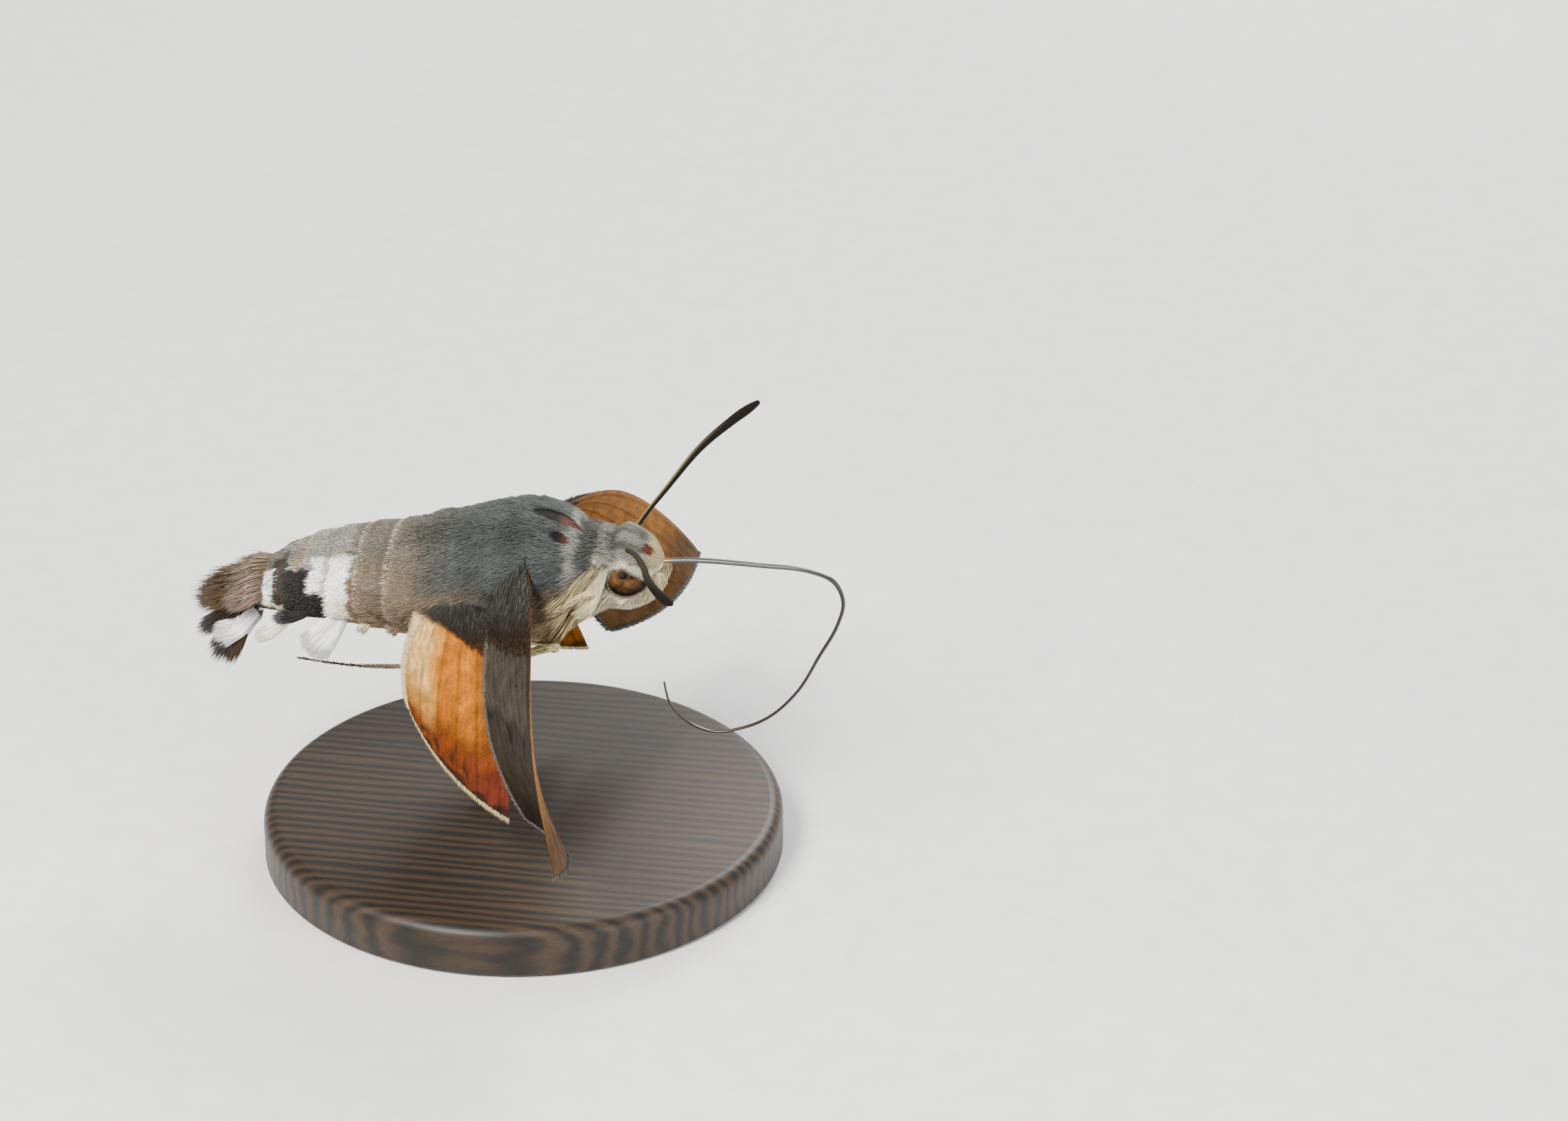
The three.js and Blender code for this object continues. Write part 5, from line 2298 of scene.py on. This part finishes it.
@dataclass(frozen=True)
class Lobe:
    """A lobe of long scales that point back from the end of the body.

    Attributes:
        along: Where they grow, rear and front end.
        angle: Where they grow round the body, in degrees.
        reach: Length of the longest.
        pitch: How far they point up, in degrees.
        spread: How far they fan to each side, in degrees.
        sag: How far their ends hang.
        count: Number of scales.
        hues: The colours that they are mixed from.
    """

    along: Pair
    angle: Pair
    reach: float
    pitch: float
    spread: float
    sag: float
    count: int
    hues: tuple[Hue, Hue]

    def grow(self, tufts: TuftField, trunk: Trunk, seed: int) -> None:
        """Adds the lobe's scales to a field.

        Args:
            tufts: The field.
            trunk: The body that they grow on.
            seed: For the random draws.
        """
        draw = np.random.default_rng(seed)
        count = self.count
        along = draw.uniform(*self.along, count)
        angle = np.radians(draw.uniform(*self.angle, count))
        aside, above = np.cos(angle), np.sin(angle)
        start = trunk.point(along, angle, -0.08)
        outward = unit(trunk.point(along, angle, 1.0) - start)
        turn = np.radians(self.spread) * (0.75 * aside + draw.normal(0.0, 0.22, count))
        pitch = np.radians(self.pitch - 5.0 * above + draw.normal(0.0, 7.0, count))
        heading = np.stack(
            [-np.cos(turn) * np.cos(pitch), np.sin(turn) * np.cos(pitch), np.sin(pitch)], -1
        )
        length = self.reach * draw.uniform(0.62, 1.0, count) * (1.0 - 0.15 * np.abs(aside))
        hang = self.sag * draw.uniform(0.5, 1.2, count)
        paths = np.stack(
            [
                start
                + heading * (length * s)[:, None]
                + outward * (0.14 * 4 * s * (1 - s))
                - np.array([0.0, 0.0, 1.0]) * (hang * s**2)[:, None]
                for s in np.linspace(0.0, 1.0, tufts.rings + 1)
            ],
            1,
        )
        tint = mixed(*self.hues, draw.random(count))
        tint = tint * np.exp(0.2 * draw.normal(size=count))[:, None]
        rooted = (along - self.along[0]) / (self.along[1] - self.along[0])
        place = np.stack([rooted, np.mod(angle / (2.0 * math.pi), 1.0)], -1)
        width = 0.062 * draw.uniform(0.7, 1.4, count)
        tufts.add(paths, outward, width, tint, place, 0.9, 1.15)


@dataclass(frozen=True)
class TailFan:
    """The tail: lobes of long scales behind, with hanging tufts at the sides."""

    lobes: tuple[Lobe, ...] = (
        Lobe((-16.4, -15.0), (0, 360), 2.2, -6.0, 30.0, 0.2, 1300, (Hue.SOOT, Hue.UMBER)),
        Lobe((-16.55, -15.3), (-40, 220), 3.1, -1.0, 26.0, 0.5, 2400, (Hue.GOLD_BROWN, Hue.UMBER)),
        Lobe((-16.0, -14.3), (-14, 194), 2.5, -8.0, 24.0, 0.4, 3400, (Hue.PINK_TAN, Hue.ASH)),
        Lobe((-16.4, -15.2), (190, 350), 2.6, -22.0, 44.0, 0.8, 900, (Hue.UMBER, Hue.SOOT)),
    )
    tufts: tuple[Spray, ...] = (
        Spray(
            (-15.0, 1.3, -3.5), (-17.3, 2.5, -5.0),
            1.0, 0.9, 1200, Hue.WHITE, Hue.WHITE, 0.1, 0.25,
        ),
        Spray(
            (-15.4, 1.0, -3.1), (-17.4, 2.6, -6.3), 1.0, 0.8, 900, Hue.UMBER, Hue.SOOT, 0.07, 0.08
        ),
        Spray(
            (-15.2, 1.1, -3.1), (-16.5, 2.8, -6.5),
            0.5, 0.5, 420, Hue.GOLD_BROWN, Hue.UMBER, 0.07, 0.08,
        ),
        Spray(
            (-15.7, 0.9, -2.9), (-18.4, 2.4, -4.7), 0.7, 0.6, 520, Hue.SOOT, Hue.UMBER, 0.07, 0.1
        ),
    )

    def build(self, trunk: Trunk) -> None:
        """Makes the tail.

        Args:
            trunk: The body that it grows on.
        """
        fan = TuftField("tail_fan_scales")
        for i, lobe in enumerate(self.lobes):
            lobe.grow(fan, trunk, 91 + i)
        settle(fan.build(), "tail_scales", Finish.TAIL, "tail_fan")
        for side in Side:
            hanging = TuftField("tail_tufts_" + side.word)
            for i, spray in enumerate(self.tufts):
                spray.grow(hanging, side, 95 + i)
            settle(hanging.build(), "tail_scales", Finish.PALE)


@dataclass(frozen=True)
class Stand:
    """A turned wooden base, and a steel rod from its foot to its top inside the fur."""

    radius: float = 15.0
    height: float = 3.0
    edge: float = 0.8
    rod_along: float = -2.0
    rod_radius: float = 0.8
    rod_edge: float = 0.2
    foot: float = 2.9
    top: float = 14.35

    def turned(self, name: str, profile: Sequence[Pair], centre: float) -> Piece:
        """Spins a profile round an upright axis.

        Args:
            name: The piece's name.
            profile: Radius and height of its corners, from the axis to the axis.
            centre: Place of the axis along the moth.

        Returns:
            The new piece.
        """
        form = bmesh.new()
        verts = [form.verts.new((x, 0.0, z)) for x, z in profile]
        edges = [form.edges.new(pair) for pair in zip(verts, verts[1:])]
        bmesh.ops.spin(
            form,
            geom=verts + edges,
            cent=(0.0, 0.0, 0.0),
            axis=(0.0, 0.0, 1.0),
            angle=2.0 * math.pi,
            steps=96,
            use_merge=True,
        )
        bmesh.ops.remove_doubles(form, verts=form.verts, dist=1e-4)
        bmesh.ops.translate(form, vec=(centre, 0.0, 0.0), verts=form.verts)
        return piece_from(form, name)

    def rounded(self, radius: float, low: float, high: float, edge: float) -> list[Pair]:
        """A profile with its upper edge rounded.

        Args:
            radius: Of the turned piece.
            low: Its underside.
            high: Its top.
            edge: Radius of the round edge.

        Returns:
            Corners from the axis below to the axis above.
        """
        arc = [
            (radius - edge + edge * math.cos(t), high - edge + edge * math.sin(t))
            for t in np.linspace(0.0, math.pi / 2, 9)
        ]
        foot = [(0.0, low), (radius - 0.25, low), (radius, low + 0.25)]
        return [*foot, *arc, (0.0, high)]

    def build(self) -> None:
        """Makes and dresses base and rod."""
        profile = self.rounded(self.radius, 0.0, self.height, self.edge)
        base = self.turned("stand_base_turned", profile, 0.0)
        settle(base, "stand_wood", Finish.WOOD, "stand_base")
        profile = self.rounded(self.rod_radius, self.foot, self.top, self.rod_edge)
        rod = self.turned("stand_rod_turned", profile, self.rod_along)
        settle(rod, "stand_steel", Finish.STEEL, "stand_rod")


@dataclass(frozen=True)
class Studio:
    """A pale floor, soft lights and the camera, which looks aside of and above the thorax."""

    elevation: float = 27.0
    yaw: float = 10.0
    distance: float = 295.4
    lens: float = 120.0
    sensor: float = 36.0
    aside: float = 15.05
    above: float = 0.39

    def axes(self) -> tuple[Vector, Vector, Vector]:
        """The camera's right, up and backward directions."""
        yaw, tilt = math.radians(self.yaw), math.radians(self.elevation)
        right = Vector((math.cos(yaw), math.sin(yaw), 0.0))
        level = math.cos(tilt)
        back = Vector((math.sin(yaw) * level, -math.cos(yaw) * level, math.sin(tilt)))
        return right, back.cross(right), back

    def camera(self) -> None:
        """Puts the camera where the photograph was taken from."""
        right, up, back = self.axes()
        target = Vector(THORAX_CENTRE) + right * self.aside + up * self.above
        data = bpy.data.cameras.new("camera")
        data.lens = self.lens
        data.sensor_width = self.sensor
        data.clip_start = 0.01
        camera = bpy.data.objects.new("camera", data)
        bpy.context.scene.collection.objects.link(camera)
        turn = Matrix((right, up, back)).transposed().to_4x4()
        camera.matrix_world = Matrix.Translation((target + back * self.distance) * MM) @ turn
        bpy.context.scene.camera = camera

    def light(self, name: str, place: Point, size: float, power: float, hue: str) -> None:
        """Adds a soft square light that faces the moth.

        Args:
            name: Its name.
            place: Where it is, in millimetres.
            size: Its width, in millimetres.
            power: Its power in watts.
            hue: Its colour, as hex digits.
        """
        data = bpy.data.lights.new(name, "AREA")
        data.size = size * MM
        data.energy = power
        data.color = [int(hue[i : i + 2], 16) / 255 for i in (0, 2, 4)]
        lamp = bpy.data.objects.new(name, data)
        bpy.context.scene.collection.objects.link(lamp)
        away = Vector(place) - Vector(THORAX_CENTRE)
        turn = away.to_track_quat("Z", "Y").to_matrix().to_4x4()
        lamp.matrix_world = Matrix.Translation(Vector(place) * MM) @ turn

    def floor(self) -> None:
        """Lays the pale floor."""
        form = bmesh.new()
        bmesh.ops.create_grid(form, x_segments=1, y_segments=1, size=3000.0)
        floor = piece_from(form, "floor")
        sheet = NodeSheet("floor_paper")
        grain = sheet.noise(sheet.object_space(), 500.0)
        floor.data.materials.append(sheet.finish(sheet.spread(grain, 0.74, 0.78), 0.9))

    def world(self) -> None:
        """Fills the room with even light."""
        world = bpy.data.worlds.new("room")
        world.use_nodes = True
        background = world.node_tree.nodes["Background"]
        background.inputs["Color"].default_value = (0.94, 0.97, 1.0, 1.0)
        background.inputs["Strength"].default_value = 0.55
        bpy.context.scene.world = world

    def build(self) -> None:
        """Sets the whole studio up."""
        self.camera()
        self.floor()
        self.world()
        self.light("key", (-130.0, -260.0, 330.0), 160.0, 4.5, "fff6e8")
        self.light("fill", (260.0, -160.0, 120.0), 220.0, 0.8, "eef4ff")
        self.light("rim", (60.0, 280.0, 220.0), 160.0, 1.3, "fffaf2")


LEG_SIZES = {
    "fore": {
        "joints": (
            (3.7, 1.6, -1.9), (4.6, 2.6, -1.1), (5.05, 3.0, 0.3), (4.5, 3.45, 0.35),
            (3.2, 4.0, -0.5), (1.7, 4.3, -1.4),
        ),
        "half_thickness": (0.42, 0.4, 0.36, 0.36, 0.3, 0.25),
        "hue": Hue.CREAM,
        "tip_hue": Hue.TAN,
        "fur": 0.8,
        "slimness": 0.3,
    },
    "mid": {
        "joints": (
            (1.7, 1.4, -3.0), (2.6, 2.9, -3.4), (2.9, 3.6, -2.9), (2.2, 3.9, -3.0),
            (0.2, 3.5, -3.9), (-2.0, 3.2, -4.5),
        ),
        "half_thickness": (0.45, 0.42, 0.38, 0.36, 0.3, 0.25),
        "hue": Hue.CREAM,
        "tip_hue": Hue.TAN,
        "fur": 0.9,
    },
    "hind": {
        "joints": (
            (-0.9, 1.3, -3.2), (-1.6, 1.5, -4.7), (-3.2, 1.7, -5.6), (-6.0, 1.7, -6.0),
            (-9.6, 1.5, -6.35), (-12.8, 1.5, -6.15),
        ),
        "half_thickness": (0.48, 0.46, 0.4, 0.34, 0.27, 0.25),
        "tuck": 0.9,
        "hue": Hue.TAN,
        "tip_hue": Hue.UMBER,
        "fur": 0.24,
        "slimness": 0.28,
    },
}
FEELER_ROOT = (6.35, 0.85, 2.0)
FEELER_STRIPE = {Side.LEFT: 0.85, Side.RIGHT: 0.12}
FEELER_BENDS = {
    Side.RIGHT: (
        (0.15, 0.45, 0.3), (0.73, 1.35, 0.67), (1.7, 3.35, 1.0), (2.5, 5.45, 1.08),
        (3.45, 7.35, 1.34), (4.5, 9.05, 1.7),
    ),
    Side.LEFT: (
        (0.6, 0.6, 1.0), (1.7, 1.9, 2.3), (3.3, 3.8, 4.1), (4.9, 5.5, 5.2), (6.2, 6.7, 5.9),
    ),
}


def main() -> None:
    """Builds the studio and the moth, piece by piece."""
    logging.basicConfig(level=logging.INFO, format="%(name)s: %(message)s")
    Studio().build()
    trunk, markings, eyes = Trunk(), Markings(), EyeShape()
    Skin(trunk, markings, eyes).build()
    Coat(trunk, markings, eyes).build()
    for side in Side:
        Eye(side, eyes).build()
        pale = FEELER_STRIPE[side]
        Feeler(side, FEELER_ROOT, FEELER_BENDS[side], pale=pale).build()
        Palp(side).build()
        for name, sizes in LEG_SIZES.items():
            Leg(name=name, side=side, **sizes).build()
        for kind in WingKind:
            Wing(kind, side).build()
    Tongue().build()
    SideTufts().build()
    TailFan().build(trunk)
    Stand().build()


if __name__ == "__main__":
    main()
